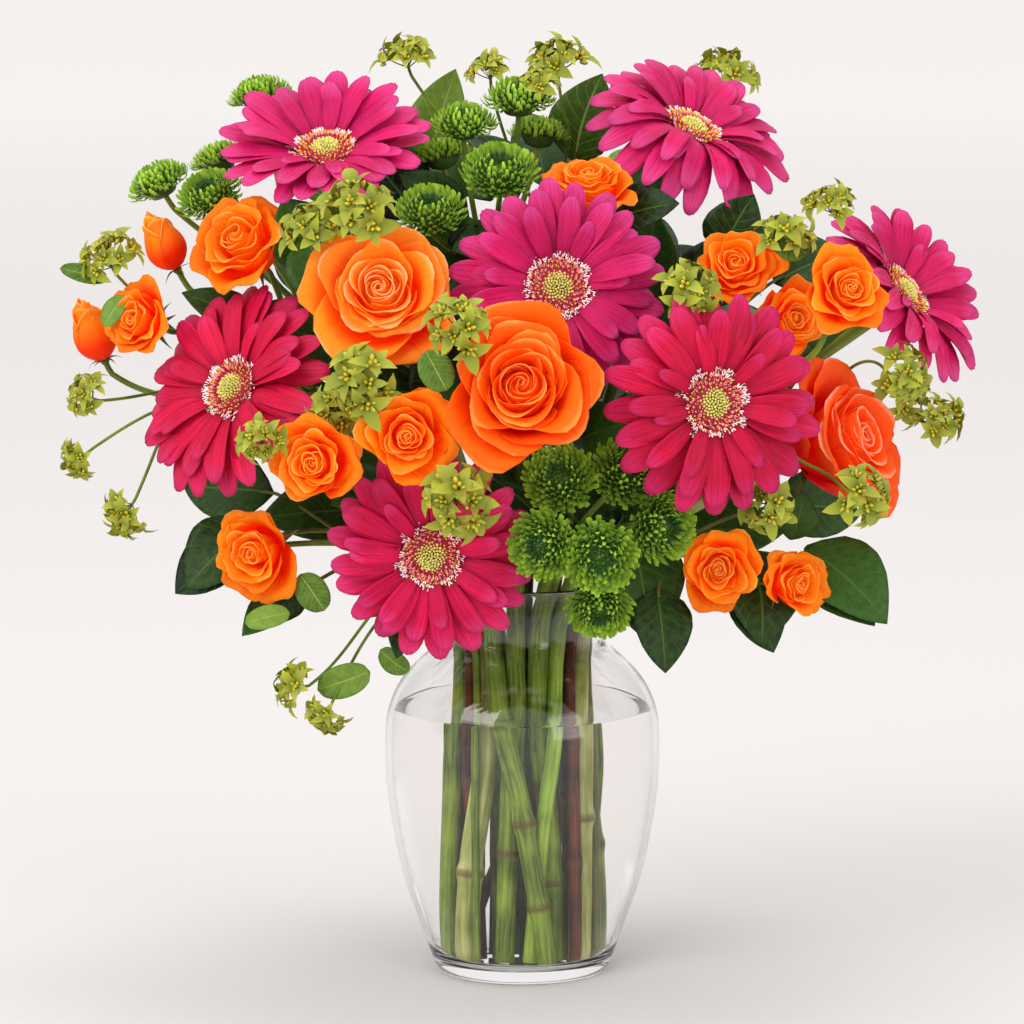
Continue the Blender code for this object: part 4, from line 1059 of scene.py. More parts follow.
def blades(name, v, widths, rows):
    """Small pointed blades along +X, as their half widths along the way, and for each the width, the rise of a straight
    line and of an arch, the droop and its power, and how far the edges stand up."""
    V, U = grid_of(v, THREE)
    for wide, rise, arch, droop, power, fold in rows:
        half = wide * np.interp(v, *widths)[:, None]
        z = rise * V + arch * np.sin(V * math.pi) - droop * V**power + fold * half * U**2
        yield one_sheet(name, np.stack([V, U * half, z], axis=-1), along=V, across=U)


def bracts():
    """Small pointed bracts, folded on their midrib."""
    v = (0.0, 0.22, 0.48, 0.76, 1.0)
    return blades("bract", v, (v, (0.35, 0.85, 1.0, 0.68, 0.02)), (
        (0.25, 0.0, 0.16, 0.10, 2, 0.30), (0.30, 0.0, 0.16, 0.22, 2, 0.30), (0.22, 0.0, 0.16, 0.0, 2, 0.30),
    ))


def scales():
    """Narrow green scales of a flower's cup."""
    v = (0.0, 0.4, 0.75, 1.0)
    return blades("scale", v, (v, (0.9, 1.0, 0.7, 0.05)), ((0.17, 0.0, 0.10, 0.0, 2, -0.25),))


def sepals():
    """Long pointed sepals of a rose, arching back."""
    return blades("sepal", (0.0, 0.2, 0.4, 0.6, 0.8, 1.0), ((0, 0.2, 0.5, 1.0), (0.8, 1.0, 0.55, 0.05)), (
        (0.15, 0.35, 0.0, 0.5, 2.2, 0.3), (0.15, 0.35, 0.0, 0.2, 2.2, 0.3),
    ))


def grown(tree, shapes, **values):
    """The mesh that a tree makes of the shapes, with its inputs given as words."""
    values["shapes"] = shape_group(shapes)
    return run_tree(tree, {name.replace("_", " ").capitalize(): value for name, value in values.items()})


def ring_of(shapes, material, count, inner, length, lift, seed, **more):
    return grown(petal_ring_tree(), shapes, material=material, count=count, inner_radius=inner, length=length,
                 lift=lift, seed=seed, **more)


def dome_of(shapes, material, count, radius, height, lean, sizes, seed, first=0, **more):
    return grown(floret_dome_tree(), shapes, material=material, count=count, first=first, radius=radius, height=height,
                 lean=lean, middle_size=sizes[0], rim_size=sizes[1], seed=seed, **more)


# ---------------------------------------------------------------- gerberas

# For each gerbera: how far its rim cups up, how far the near petals hang and the far ones stand, its turn, and its
# colours at the petals' foot (partly painted shade by the disc), middle and tip.
GERBERA_LOOKS = (
    (0.20, 0.02, 0.12, 0.30, "#B8083E", "#E2126A", "#EE4494"),
    (0.06, 0.05, 0.02, 0.90, "#A8062A", "#E60C48", "#E83070"),
    (0.03, 0.10, 0.00, 1.70, "#A40840", "#DC1266", "#E84294"),
    (0.02, 0.06, 0.00, 2.20, "#980622", "#DC0844", "#E42C72"),
    (0.02, 0.34, 0.30, 0.60, "#B00A42", "#E01668", "#EE4C9A"),
    (0.05, 0.12, 0.42, 1.20, "#AC0A3C", "#E01264", "#EE4894"),
    (0.05, 0.05, 0.00, 0.10, "#A4062E", "#E80E54", "#F03E86"),
)
RIM_LIFT = 0.10
DISC_SWELL = 1.02
FRONT = (0.0, -0.99, 0.14)  # the side that the bouquet is seen from


def gerbera(n, settings):
    centre, facing, radius, *_rest = GERBERAS[n - 1]
    cup, hang, stand, spin, base, middle, tip = GERBERA_LOOKS[n - 1]
    petal = finish_named(ray_petal, base, middle, tip, settings.gerbera_hue)
    full = radius - 0.0125
    rings = []
    for k, (count, inner, share, lift, seed, turn, spreads) in enumerate((
        (settings.gerbera_petals, 0.0125, 1.00, 0.00, 0, 0.00, (0.05, 0.16, 0.05)),
        (settings.gerbera_petals - 4, 0.0115, 0.88, 0.14, 3, 0.12, (0.08, 0.22, 0.07)),
        (7, 0.0110, 0.66, 0.30, 5, 0.30, (0.10, 0.25, 0.18)),
    )):
        ring = ring_of(gerbera_petals, petal, count, inner, share * full, RIM_LIFT + lift, 10 * n + seed,
                       turn=spin + turn, lift_spread=spreads[0], roll_spread=spreads[1], size_spread=spreads[2])
        ring.transform(Matrix.Translation((0.0, 0.0, 0.0008 * k)))
        rings.append(ring)
    petals = merged("petals", rings)

    place = frame_of(centre, facing)
    front = np.array((place.inverted().to_3x3() @ Vector(FRONT)))[:2]
    front /= np.linalg.norm(front)

    def bend(p):
        out = np.hypot(p[:, 0], p[:, 1])
        share = np.clip((out - 0.012) / (radius - 0.012), 0, 1.1)
        side = -(p[:, :2] @ front) / np.maximum(out, 1e-6)
        p[:, 2] += radius * (cup * share**2 - 0.10 * share**2)
        p[:, 2] -= radius * hang * share**2 * np.clip(-side + 0.15, 0, 1.15)
        p[:, 2] += radius * stand * share**1.5 * np.clip(side, 0, 1)
        pull = 1 - 0.22 * (hang * np.clip(-side, 0, 1) + stand * np.clip(side, 0, 1)) * share
        p[:, 0] *= pull
        p[:, 1] *= pull
        return p

    reshape(petals, bend)
    petals = thickened(petals, 0.00035)
    petals.transform(place)
    piece(f"gerbera_{n}_petals", petals, "gerbera_petals", f"gerbera_{n}_flower")

    tube = finish_named(floret, "#E02060", "#FFF2F4", 0.30, 0.70)
    inner = finish_named(floret, "#DC1C54", "#FFA8C4", 0.4, 0.9)
    pollen = finish_named(floret, "#E88A18", "#FFD83A", 0.3, 0.8)
    middle_bud = finish_named(floret, "#B0A83A", "#E6E07E", 0.1, 0.8)
    dome = [(0.0, 0.0040), (0.0060, 0.0038), (0.0120, 0.0024), (0.0150, 0.0006), (0.0150, -0.0030), (0.0, -0.0040)]
    floor = turned_mesh("disc_floor", dome[::-1], 40)
    floor.materials.append(finish_named(floret, "#A01434", "#A01434", 0.0, 1.0))
    # Shape, finish, count, reach, height of the dome, lean, sizes at the middle and rim, first place, lean's spread.
    domes = [dome_of(shapes, finish, count, reach, height, lean, sizes, 7 * n + k, first, lean_spread=lean_spread)
             for k, (shapes, finish, count, reach, height, lean, sizes, first, lean_spread) in enumerate((
                 (tube_florets, tube, 150, 0.0160, 0.0036, 0.85, (0.0034, 0.0044), 130, 0.28),
                 (tube_florets, inner, 120, 0.0130, 0.0044, 0.55, (0.0028, 0.0034), 60, 0.25),
                 (stamens, pollen, 120, 0.0140, 0.0048, 0.60, (0.0028, 0.0038), 50, 0.28),
                 (bud_florets, middle_bud, 130, 0.0080, 0.0048, 0.45, (0.0018, 0.0023), 0, 0.1),
             ))]
    disc = merged("disc", [floor, *domes])
    disc.transform(place @ Matrix.Scale(DISC_SWELL, 4))
    piece(f"gerbera_{n}_disc", disc, "gerbera_petals", f"gerbera_{n}_flower")

    leafy = finish_named(green_stalk, "#4E6B22", "#8FA84A", 3.0)
    green_cup = turned_mesh("cup", [
        (0.0, -0.0015), (0.0135, -0.0012), (0.0125, -0.0050), (0.0085, -0.0095), (0.0045, -0.0135), (0.0, -0.0140),
    ], 28)
    green_cup.materials.append(leafy)
    scale_rings = []
    for k, (inner_radius, drop) in enumerate(((0.0040, 0.0130), (0.0078, 0.0096), (0.0115, 0.0060))):
        ring = ring_of(scales, leafy, 18, inner_radius, 0.0078, 0.62, 31 * n + k, turn=0.17 * k, roll_spread=0.1)
        ring.transform(Matrix.Translation((0, 0, -drop - 0.0004)))
        scale_rings.append(ring)
    calyx = merged("calyx", [green_cup] + scale_rings)
    calyx.transform(place)
    piece(f"gerbera_{n}_cup", calyx, "gerbera_stem", f"gerbera_{n}_flower")


# ---------------------------------------------------------------- roses

# How a rose petal leaves the base, fills its belly and ends at its lip, as the angle above level in degrees,
# for petals from the heart to the outside.
PETAL_STAGES = np.array([0.0, 0.30, 0.60, 0.82, 1.0])
PETAL_RUN = np.array([0.0, 0.25, 0.55, 0.80, 0.92, 1.0])
PETAL_ANGLES = np.array([
    [60.0, 80.0, 96.0, 110.0, 122.0, 132.0],
    [46.0, 76.0, 90.0, 98.0, 96.0, 80.0],
    [30.0, 64.0, 82.0, 80.0, 50.0, -5.0],
    [16.0, 50.0, 70.0, 58.0, 10.0, -70.0],
    [4.0, 34.0, 54.0, 36.0, -16.0, -95.0],
])
PETAL_LENGTH = np.array([0.95, 1.02, 1.10, 1.17, 1.22])
PETAL_HALF = np.array([0.20, 0.44, 0.62, 0.74, 0.84])


def rose_mesh(radius, count, seed, openness=1.0, ruffle=0.03, tall=1.0, width=1.0):
    """Petals that wind outwards in a spiral from a closed heart to rolled-back outer ones. Its base is at z = 0."""
    chance = np.random.default_rng(seed)
    sheets = Sheets()
    v = np.array([0.0, 0.14, 0.28, 0.42, 0.54, 0.65, 0.75, 0.83, 0.89, 0.935, 0.97, 1.0])
    fine = np.linspace(0.0, 1.0, 41)
    for k in range(count):
        stage = openness * float(np.clip((k + chance.uniform(-0.8, 0.8)) / (count - 1), 0, 1))
        V, U = grid_of(v, np.linspace(-1.0, 1.0, 13 if stage > 0.6 else 19))
        angles = [np.interp(stage, PETAL_STAGES, PETAL_ANGLES[:, j]) for j in range(len(PETAL_RUN))]
        slope = np.radians(np.interp(fine, PETAL_RUN, angles) + chance.normal(0, 3.0) * stage)
        slope -= np.radians(chance.uniform(-10, 14)) * stage * fine
        length = radius * tall * np.interp(stage, PETAL_STAGES, PETAL_LENGTH) * (1 + chance.normal(0, 0.035))
        run = np.concatenate([[0.0], np.cumsum((np.cos(slope[1:]) + np.cos(slope[:-1])) / 2 / 40)]) * length
        rise = np.concatenate([[0.0], np.cumsum((np.sin(slope[1:]) + np.sin(slope[:-1])) / 2 / 40)]) * length
        start = radius * (0.03 + 0.05 * stage)
        phase = chance.uniform(0, 2 * math.pi)
        lean = chance.normal(0, 0.14) * stage
        rounding = 0.10 + 0.16 * stage
        s = V * (1 - rounding * np.abs(U) ** 2.4 * V**2)
        s = s - 0.05 * stage * V**4 * np.sin(1.7 * U * math.pi + phase)
        s = np.clip(s, 0, 1)
        out = start + np.interp(s, fine, run)
        up = np.interp(s, fine, rise)
        half = radius * width * np.interp(stage, PETAL_STAGES, PETAL_HALF) * (1 + chance.normal(0, 0.06))
        wide = half * (0.22 + 0.78 * np.sin(np.clip(s / 0.72, 0, 1) * math.pi / 2))
        reach = np.maximum(out, 0.09 * radius)
        turn = np.clip(U * wide / reach, -2.4, 2.4)
        wind = 0.026 * radius * turn * (1 - 0.5 * stage) * chance.choice([1.0, 1.0, -0.6])
        hug = -0.05 * radius * stage * np.abs(U) ** 2 * V**1.5
        wave = ruffle * radius * stage * V**4
        crease = wave * np.sin(2.3 * U * math.pi + phase * 1.7)
        angle = GOLDEN_TURN * k + turn + chance.normal(0, 0.45)
        squash = 1 + chance.uniform(0.04, 0.20) * (1 - 0.55 * stage) * np.cos(2 * angle + phase) * V
        r = np.maximum((out + wind + hug + crease) * squash, 0.006 * radius)
        z = up + wave * 0.8 * np.sin(3.1 * U * math.pi + phase) + lean * 0.5 * radius * U * V**2
        z = z - chance.uniform(0.0, 0.10) * radius * (1 - stage) * V
        grid = np.stack([r * np.cos(angle), r * np.sin(angle), z], axis=-1)
        sheets.add(grid, along=s, across=U * (1 + 0.2 * k / count), tone=chance.uniform(0, 1))
    return sheets.mesh("rose_petals")


def bud_mesh(radius, count, seed, tall):
    """Petals still wrapped into a plump pointed bud."""
    chance = np.random.default_rng(seed)
    sheets = Sheets()
    V, U = grid_of(np.linspace(0.0, 1.0, 14), np.linspace(-1.0, 1.0, 13))
    for k in range(count):
        t = k / (count - 1)
        reach = 1.0 - 0.16 * t - 0.10 * chance.uniform(0, 1) * t
        s = V * reach * (1 - (0.10 + 0.20 * t) * np.abs(U) ** 2.2 * V**2)
        belly = np.sin(math.pi * np.clip(s, 0, 1) ** 0.72) * (1 - 0.20 * s) * (0.62 + 0.14 * t)
        lip = 0.16 * t * np.clip((V - 0.80) / 0.20, 0, 1) ** 2
        turn = U * (1.9 - 0.7 * t)
        r = radius * np.maximum(belly + 0.02 * t + 0.025 * turn * (V > 0) * V + lip, 0.01)
        angle = GOLDEN_TURN * k + turn + 0.5 * V
        z = tall * radius * (s * 1.02 - 0.05 * lip)
        sheets.add(np.stack([r * np.cos(angle), r * np.sin(angle), z], axis=-1),
                   along=0.30 + 0.70 * V, across=U, tone=chance.uniform(0, 1))
    return sheets.mesh("bud_petals")


# Large roses: petal count, seed, openness, how much wider the soft lips stand than the imported cup, and colours in the
# depths (painted shade deep in the cup), on the face and at the edge.
ROSE_LOOKS = (
    (34, 3, 0.92, 1.05, "#FF4A04", "#FF9C26", "#FFD08C"),
    (34, 8, 0.84, 1.21, "#EC2002", "#FF7412", "#FFAE50"),
    (30, 5, 0.93, 1.16, "#EC1602", "#FF7024", "#FFC098"),
)
SPRAY_PETALS = 24
SPRAY_RUFFLE = 0.060
SPRAY_OPENNESS = 0.97
SPRAY_SWELL = 1.10
BUD_PETALS = 9
BUD_HEIGHT = 2.3  # in radii
# Spray rose blooms seen still closed, as (stem, bloom).
BUDS = {(1, 2), (1, 3)}
FULLEST = (1, 1)
FULLEST_SWELL = 1.32
ROSE_BASE = 0.86  # how far behind the centre the petals start, in radii


def rose_bloom(name, centre, facing, radius, mesh, finish, slot, node, n):
    """Places a bloom with its petals thickened, and its green cup and sepals behind it."""
    mesh.transform(Matrix.Translation((0, 0, -ROSE_BASE * radius)))
    place = frame_of(centre, facing, n * 1.3)
    mesh = thickened(mesh, 0.0004)
    mesh.materials.clear()
    mesh.materials.append(finish)
    mesh.transform(place)
    piece(f"{name}_petals", mesh, slot, node)
    green = finish_named(green_stalk, "#35501A", "#7E9440", 3.0)
    hip = turned_mesh("hip", [
        (0.0, -0.78 * radius), (0.15 * radius, -0.84 * radius), (0.17 * radius, -0.90 * radius),
        (0.10 * radius, -1.02 * radius), (0.0, -1.03 * radius),
    ], 20)
    hip.materials.append(green)
    ring = ring_of(sepals, green, 5, 0.10 * radius, 0.62 * radius, -0.10, 7 * n, roll_spread=0.2, lift_spread=0.25)
    ring.transform(Matrix.Translation((0, 0, -ROSE_BASE * radius)))
    cup = merged("cup", [hip, ring])
    cup.transform(place)
    piece(f"{name}_cup", cup, "rose_stem", node)


def rose(n):
    centre, facing, radius, *_rest = ROSES[n - 1]
    count, seed, openness, swell, depth, face, edge = ROSE_LOOKS[n - 1]
    mesh = rose_mesh(swell * radius, count, seed, openness)
    rose_bloom(f"rose_{n}", centre, facing, radius, mesh, finish_named(rose_petal, depth, face, edge),
               "rose_petals", f"rose_{n}_bloom", n)


def spray_rose(n, settings):
    for k, (centre, facing, radius) in enumerate(SPRAY_ROSES[n - 1][4], 1):
        if (n, k) in BUDS:
            mesh = bud_mesh(radius, BUD_PETALS, 20 * n + k, BUD_HEIGHT)
        else:
            swell = FULLEST_SWELL if (n, k) == FULLEST else SPRAY_SWELL
            mesh = rose_mesh(swell * radius, SPRAY_PETALS, 20 * n + k, SPRAY_OPENNESS, SPRAY_RUFFLE)
        # The petals' colour in the depths, #FF4802, is painted shade deep in the cup.
        rose_bloom(f"spray_rose_{n}_bloom_{k}", centre, facing, radius, mesh,
                   finish_named(rose_petal, "#FF4802", tuple(settings.spray_rose_face), "#FFC25A"),
                   "spray_rose_petals", f"spray_rose_{n}_bloom_{k}", 3 * n + k)


# ---------------------------------------------------------------- mums, bupleurum and leaves

MUM_SWELL = 1.08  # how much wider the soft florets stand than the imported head


def mum_head(centre, facing, radius, seed, tip):
    green = finish_named(floret, "#22500E", tip, 0.26, 1.0)
    heart = finish_named(floret, "#1C4A12", "#6CA62C", 0.2, 0.9)
    dark = finish_named(green_stalk, "#1E3A12", "#4A6A22", 3.0)
    base = turned_mesh("base", [
        (0.0, 0.30 * radius), (0.45 * radius, 0.22 * radius), (0.62 * radius, 0.0), (0.40 * radius, -0.30 * radius),
        (0.0, -0.42 * radius),
    ], 20)
    base.materials.append(dark)
    head = merged("head", [
        base,
        dome_of(mum_florets, green, 150, 0.66 * radius, 0.42 * radius, 1.50, (0.30 * radius, 0.44 * radius), seed,
                first=16, lean_spread=0.08, size_spread=0.08),
        dome_of(mum_florets, heart, 30, 0.24 * radius, 0.06 * radius, 0.45, (0.24 * radius, 0.34 * radius), seed + 5),
    ])
    head.transform(Matrix.Translation((0, 0, 0.06 * radius)) @ Matrix.Scale(MUM_SWELL, 4))
    head.transform(frame_of(centre, facing))
    return head


def umbellets():
    """One small cluster of a bupleurum umbel on its ray: a star of bracts round tiny yellow flowers."""
    leaf = finish_named(floret, "#566E14", "#A6A82E", 0.0, 0.9)
    bead = finish_named(floret, "#9A8E18", "#D2C034", 0.0, 0.8)
    ring = circle(4)
    ray = np.stack([ring * 0.030, ring * 0.026 + [0.02, 0, 0.5], ring * 0.026 + [0, 0, 0.94]])
    for seed, count in ((1, 5), (2, 6), (3, 4)):
        star = ring_of(bracts, leaf, count, 0.02, 0.80, 0.45, seed, lift_spread=0.35, size_spread=0.25)
        beads = dome_of(bud_florets, bead, 9, 0.20, 0.10, 0.8, (0.20, 0.24), seed)
        cluster = merged("cluster", [star, beads])
        cluster.transform(Matrix.Translation((0, 0, 0.92)))
        stalk = one_sheet("ray", ray, closed=True, along=np.array([0.0, 0.4, 0.8])[:, None], tone=0.5)
        stalk.materials.append(leaf)
        yield merged("umbellet", [cluster, stalk])


def umbel(centre, facing, radius, seed, count):
    made = grown(umbel_tree(), umbellets, count=count, size=1.15 * radius, lean=1.15, seed=seed)
    made.transform(Matrix.Translation((0, 0, -0.55 * radius)))
    made.transform(frame_of(centre, facing))
    return made


# A broad leaf's half width along the way, as shares of its length and of its widest place.
LEAF_OUTLINE = (
    (0, 0.05), (0.06, 0.36), (0.18, 0.80), (0.34, 1.0), (0.52, 0.97), (0.70, 0.76), (0.84, 0.48), (0.94, 0.20), (1, 0),
)


def leaf_mesh(base, tip, half, seed, fold=0.22, droop=0.12, teeth=0.0, round_end=False):
    """A veined blade from base to tip, folded on its midrib, with a soft wave along its edges."""
    chance = np.random.default_rng(seed)
    base, tip = np.array(base, float), np.array(tip, float)
    along = unit(tip - base)
    length = np.linalg.norm(tip - base)
    outward = unit((base + tip) / 2 - np.array([0.0, 0.0, 0.16]))
    if base[1] < LEAVES_TURN:
        outward = unit(outward + 1.6 * np.array(FRONT))
    across = unit(np.cross(along, outward))
    normal = np.cross(across, along)
    v = np.linspace(0.0, 1.0, 17)
    V, U = grid_of(v, np.linspace(-1.0, 1.0, 9))
    if round_end:
        width = np.sqrt(np.clip(1 - (2 * v - 1) ** 2, 0, 1)) * 0.96 + 0.04 * (1 - v)
    else:
        width = np.interp(v, *zip(*LEAF_OUTLINE))
    width = width * (1 + teeth * np.where(np.arange(17) % 2, 1.0, -0.4))
    wave = 0.05 * half * np.sin(V * 9 + chance.uniform(0, 6)) * np.abs(U) ** 2
    side = U * width[:, None] * half
    lift = fold * np.abs(side) + wave - droop * length * (V - 0.5) ** 2 * 1.2 + 0.03 * length * np.sin(V * math.pi)
    sweep = 0.04 * length * np.sin(V * math.pi) * chance.uniform(-1, 1)
    grid = base + along * (length * V)[..., None] + across * (side + sweep)[..., None] + normal * lift[..., None]
    return one_sheet("leaf", grid, along=V, across=U, tone=chance.uniform(0, 1))


# ---------------------------------------------------------------- stems

# Stem finishes as dark and light tones and how fine the streaks are.
STALKS = {
    "fresh": ("#40580E", "#8EA638", 3.0),
    "pale": ("#8A923C", "#CCCE84", 2.5),
    "deep": ("#243408", "#5A7420", 3.0),
    "bright": ("#5C8018", "#A8C84C", 3.0),
    "woody": ("#2C1006", "#74381C", 4.0),
    "olive": ("#3C4010", "#7C7C2E", 3.0),
}
# For each plant: its finish, and the heights of the joints along its stem.
STEM_LOOKS = {
    "gerbera_1": ("fresh", ()), "gerbera_2": ("fresh", ()), "gerbera_3": ("deep", ()),
    "gerbera_4": ("bright", ()), "gerbera_5": ("deep", ()), "gerbera_6": ("fresh", (0.066,)),
    "gerbera_7": ("fresh", (0.040, 0.082, 0.130)),
    "rose_1": ("pale", (0.055,)), "rose_2": ("fresh", (0.066, 0.110)), "rose_3": ("pale", (0.082,)),
    "spray_rose_1": ("olive", (0.08,)), "spray_rose_2": ("woody", (0.05, 0.1)), "spray_rose_3": ("deep", (0.07,)),
    "spray_rose_4": ("olive", (0.09,)), "spray_rose_5": ("woody", (0.06, 0.12)),
    "mum_spray_1": ("deep", (0.1,)), "mum_spray_2": ("deep", (0.06,)), "mum_spray_3": ("fresh", (0.05, 0.1)),
    "bupleurum_1": ("fresh", ()), "bupleurum_2": ("fresh", ()), "bupleurum_3": ("fresh", ()),
    "bupleurum_4": ("fresh", ()),
    "leaf_branch_1": ("woody", ()), "leaf_branch_2": ("olive", ()), "leaf_branch_3": ("deep", ()),
    "leaf_branch_4": ("olive", ()), "leaf_branch_5": ("woody", ()), "leaf_branch_6": ("olive", ()),
    "leaf_branch_7": ("woody", ()),
}
JOINT_SWELL = 0.24
JOINT_REACH = 0.0035
STEM_SWELL = 1.10  # how much thicker a soft stem is drawn than its packed tube


def stalk_mesh(points, radius, look, joints=(), sides=12, ribs=5.0, depth=0.05, taper=1.0):
    line = smooth_line(points, 0.0025)
    mesh = bpy.data.meshes.new("route")
    mesh.from_pydata([tuple(p) for p in line], [(i, i + 1) for i in range(len(line) - 1)], [])
    swell = np.linspace(1.0, taper, len(line))
    for height in joints:
        near = (line[:, 2] - height) / JOINT_REACH
        swell += JOINT_SWELL * np.exp(-(near**2)) * (line[:, 2] < 0.3)
    mesh.attributes.new("swell", "FLOAT", "POINT").data.foreach_set("value", swell.astype(np.float32))
    return run_tree(stem_tree(), {
        "Radius": float(radius), "Sides": sides, "Ribs": ribs, "Rib depth": depth,
        "Material": finish_named(green_stalk, *STALKS[look]),
    }, mesh)


def plant_stems(plant):
    """A plant's main stem and its branches as one mesh."""
    routes = settled_routes()
    look, joints = STEM_LOOKS[plant]
    main = routes[plant]
    parts = [stalk_mesh(main.points, main.radius * STEM_SWELL, look, joints, 14 if main.radius > 0.003 else 10)]
    kind = plant.rsplit("_", 1)[0]
    k = 1
    while f"{plant}_{k}" in routes and kind not in ("gerbera", "rose"):
        twig = routes[f"{plant}_{k}"]
        tone = {"spray_rose": "fresh", "mum_spray": "fresh", "bupleurum": "fresh", "leaf_branch": "olive"}[kind]
        parts.append(stalk_mesh(twig.points, twig.radius, tone, (), 8, 3.0, 0.03, 0.85))
        k += 1
    return merged("stems", parts)


# ---------------------------------------------------------------- more greenery

# Umbels that fill in among the blooms: centre, facing and radius.
FILLING_UMBELS = (
    ((-0.077, -0.110, 0.395), (-0.20, -0.70, 0.65), 0.0125), ((-0.102, -0.090, 0.384), (-0.40, -0.70, 0.60), 0.0100),
    ((-0.029, -0.160, 0.343), (0.10, -0.90, 0.40), 0.0110), ((-0.075, -0.135, 0.313), (-0.20, -0.95, 0.10), 0.0125),
    ((-0.032, -0.150, 0.261), (0.00, -0.95, 0.30), 0.0125), ((-0.126, -0.130, 0.285), (-0.30, -0.90, 0.20), 0.0080),
    ((0.080, -0.110, 0.356), (0.10, -0.85, 0.50), 0.0115), ((0.127, -0.070, 0.378), (0.10, -0.60, 0.75), 0.0100),
    ((0.153, -0.020, 0.389), (0.20, -0.50, 0.80), 0.0090), ((0.118, -0.110, 0.253), (0.10, -0.95, 0.20), 0.0100),
    ((0.189, -0.030, 0.296), (0.50, -0.80, 0.30), 0.0100), ((-0.090, -0.110, 0.300), (-0.30, -0.90, 0.20), 0.0100),
    ((0.008, 0.000, 0.448), (0.00, -0.30, 0.95), 0.0080),
)
# Round leaves of the bupleurum: base, tip and half width.
ROUND_LEAVES = (
    ((-0.046, -0.150, 0.331), (-0.036, -0.150, 0.312), 0.0085),
    ((-0.109, -0.070, 0.212), (-0.097, -0.070, 0.194), 0.0085),
    ((-0.114, -0.070, 0.193), (-0.136, -0.070, 0.188), 0.0060),
    ((-0.075, -0.060, 0.162), (-0.101, -0.060, 0.153), 0.0085),
    ((-0.070, -0.060, 0.173), (-0.056, -0.060, 0.162), 0.0060),
    ((0.120, -0.070, 0.383), (0.138, -0.070, 0.369), 0.0110),
    ((-0.205, -0.018, 0.352), (-0.228, -0.026, 0.358), 0.0050),
    ((-0.196, -0.030, 0.345), (-0.206, -0.034, 0.330), 0.0060),
)
# Broad leaves between and behind the blooms: base, tip and half width.
FILLING_LEAVES = (
    ((-0.099, -0.040, 0.362), (-0.117, -0.044, 0.394), 0.0180),
    ((-0.106, -0.050, 0.378), (-0.086, -0.070, 0.340), 0.0160),
    ((0.060, -0.010, 0.345), (0.066, -0.030, 0.385), 0.0150), ((0.060, -0.030, 0.330), (0.084, -0.050, 0.350), 0.0150),
    ((0.132, -0.050, 0.226), (0.138, -0.052, 0.250), 0.0100), ((0.060, 0.020, 0.360), (0.052, 0.022, 0.402), 0.0140),
    ((-0.030, -0.020, 0.380), (-0.060, -0.030, 0.405), 0.0140),
    ((0.000, -0.040, 0.370), (-0.034, -0.070, 0.372), 0.0140),
    ((-0.020, -0.060, 0.290), (-0.040, -0.100, 0.300), 0.0170),
    ((-0.050, -0.050, 0.300), (-0.084, -0.090, 0.300), 0.0180),
    ((-0.060, -0.050, 0.250), (-0.092, -0.086, 0.250), 0.0180),
    ((0.020, -0.050, 0.270), (0.050, -0.092, 0.290), 0.0180),
    ((0.000, -0.050, 0.250), (-0.008, -0.096, 0.262), 0.0180), ((0.070, -0.040, 0.300), (0.110, -0.070, 0.290), 0.0180),
    ((0.080, -0.030, 0.260), (0.124, -0.060, 0.256), 0.0180),
    ((-0.090, -0.030, 0.320), (-0.136, -0.050, 0.340), 0.0160),
    ((0.120, -0.010, 0.320), (0.160, -0.030, 0.330), 0.0160), ((0.040, -0.020, 0.380), (0.076, -0.040, 0.392), 0.0140),
    ((-0.130, -0.020, 0.330), (-0.168, -0.024, 0.346), 0.0100),
    ((0.054, -0.060, 0.232), (0.062, -0.078, 0.180), 0.0210),
    ((0.112, -0.050, 0.222), (0.118, -0.064, 0.176), 0.0210), ((0.140, -0.040, 0.222), (0.180, -0.054, 0.186), 0.0200),
    ((-0.132, -0.040, 0.232), (-0.166, -0.050, 0.202), 0.0180),
    ((-0.050, -0.060, 0.200), (-0.062, -0.076, 0.172), 0.0110),
)
# Leaves that close the back and the sides, set round the bunch: how many, distance from the axis, height, length and
# half width.
BACK_LEAVES = (
    (11, 0.082, 0.395, 0.055, 0.0165), (14, 0.118, 0.345, 0.060, 0.0180), (15, 0.124, 0.290, 0.062, 0.0185),
    (14, 0.104, 0.240, 0.060, 0.0185), (10, 0.070, 0.218, 0.050, 0.0160), (9, 0.088, 0.315, 0.058, 0.0180),
)
# Dark leaves that close the gaps between the blooms in front, laid out in the same way.
CORE_LEAVES = (
    (6, 0.062, 0.372, 0.050, 0.0165), (7, 0.078, 0.335, 0.055, 0.0175), (8, 0.088, 0.300, 0.055, 0.0180),
    (8, 0.084, 0.266, 0.055, 0.0180), (6, 0.066, 0.238, 0.045, 0.0160),
)
LEAF_THICKNESS = 0.0004
LEAVES_TURN = 0.056  # leaves that start further forward than this face the front
BACK_ARC = (8.0, 172.0)  # the arcs they cover, in degrees from the right side round the back
CORE_ARC = (196.0, 344.0)


def leaf_finish(bright):
    if bright:
        return finish_named(green_leaf, "#466C1A", "#84A83A", "#B0C468")
    return finish_named(green_leaf, "#0A1C05", "#3E6A18", "#4E7628")


def leaves(kind_rows, bright, seed, **shape):
    made = []
    for n, (base, tip, half) in enumerate(kind_rows):
        mesh = leaf_mesh(base, tip, half, seed + n, **shape)
        mesh.materials.append(leaf_finish(bright))
        made.append(mesh)
    return made


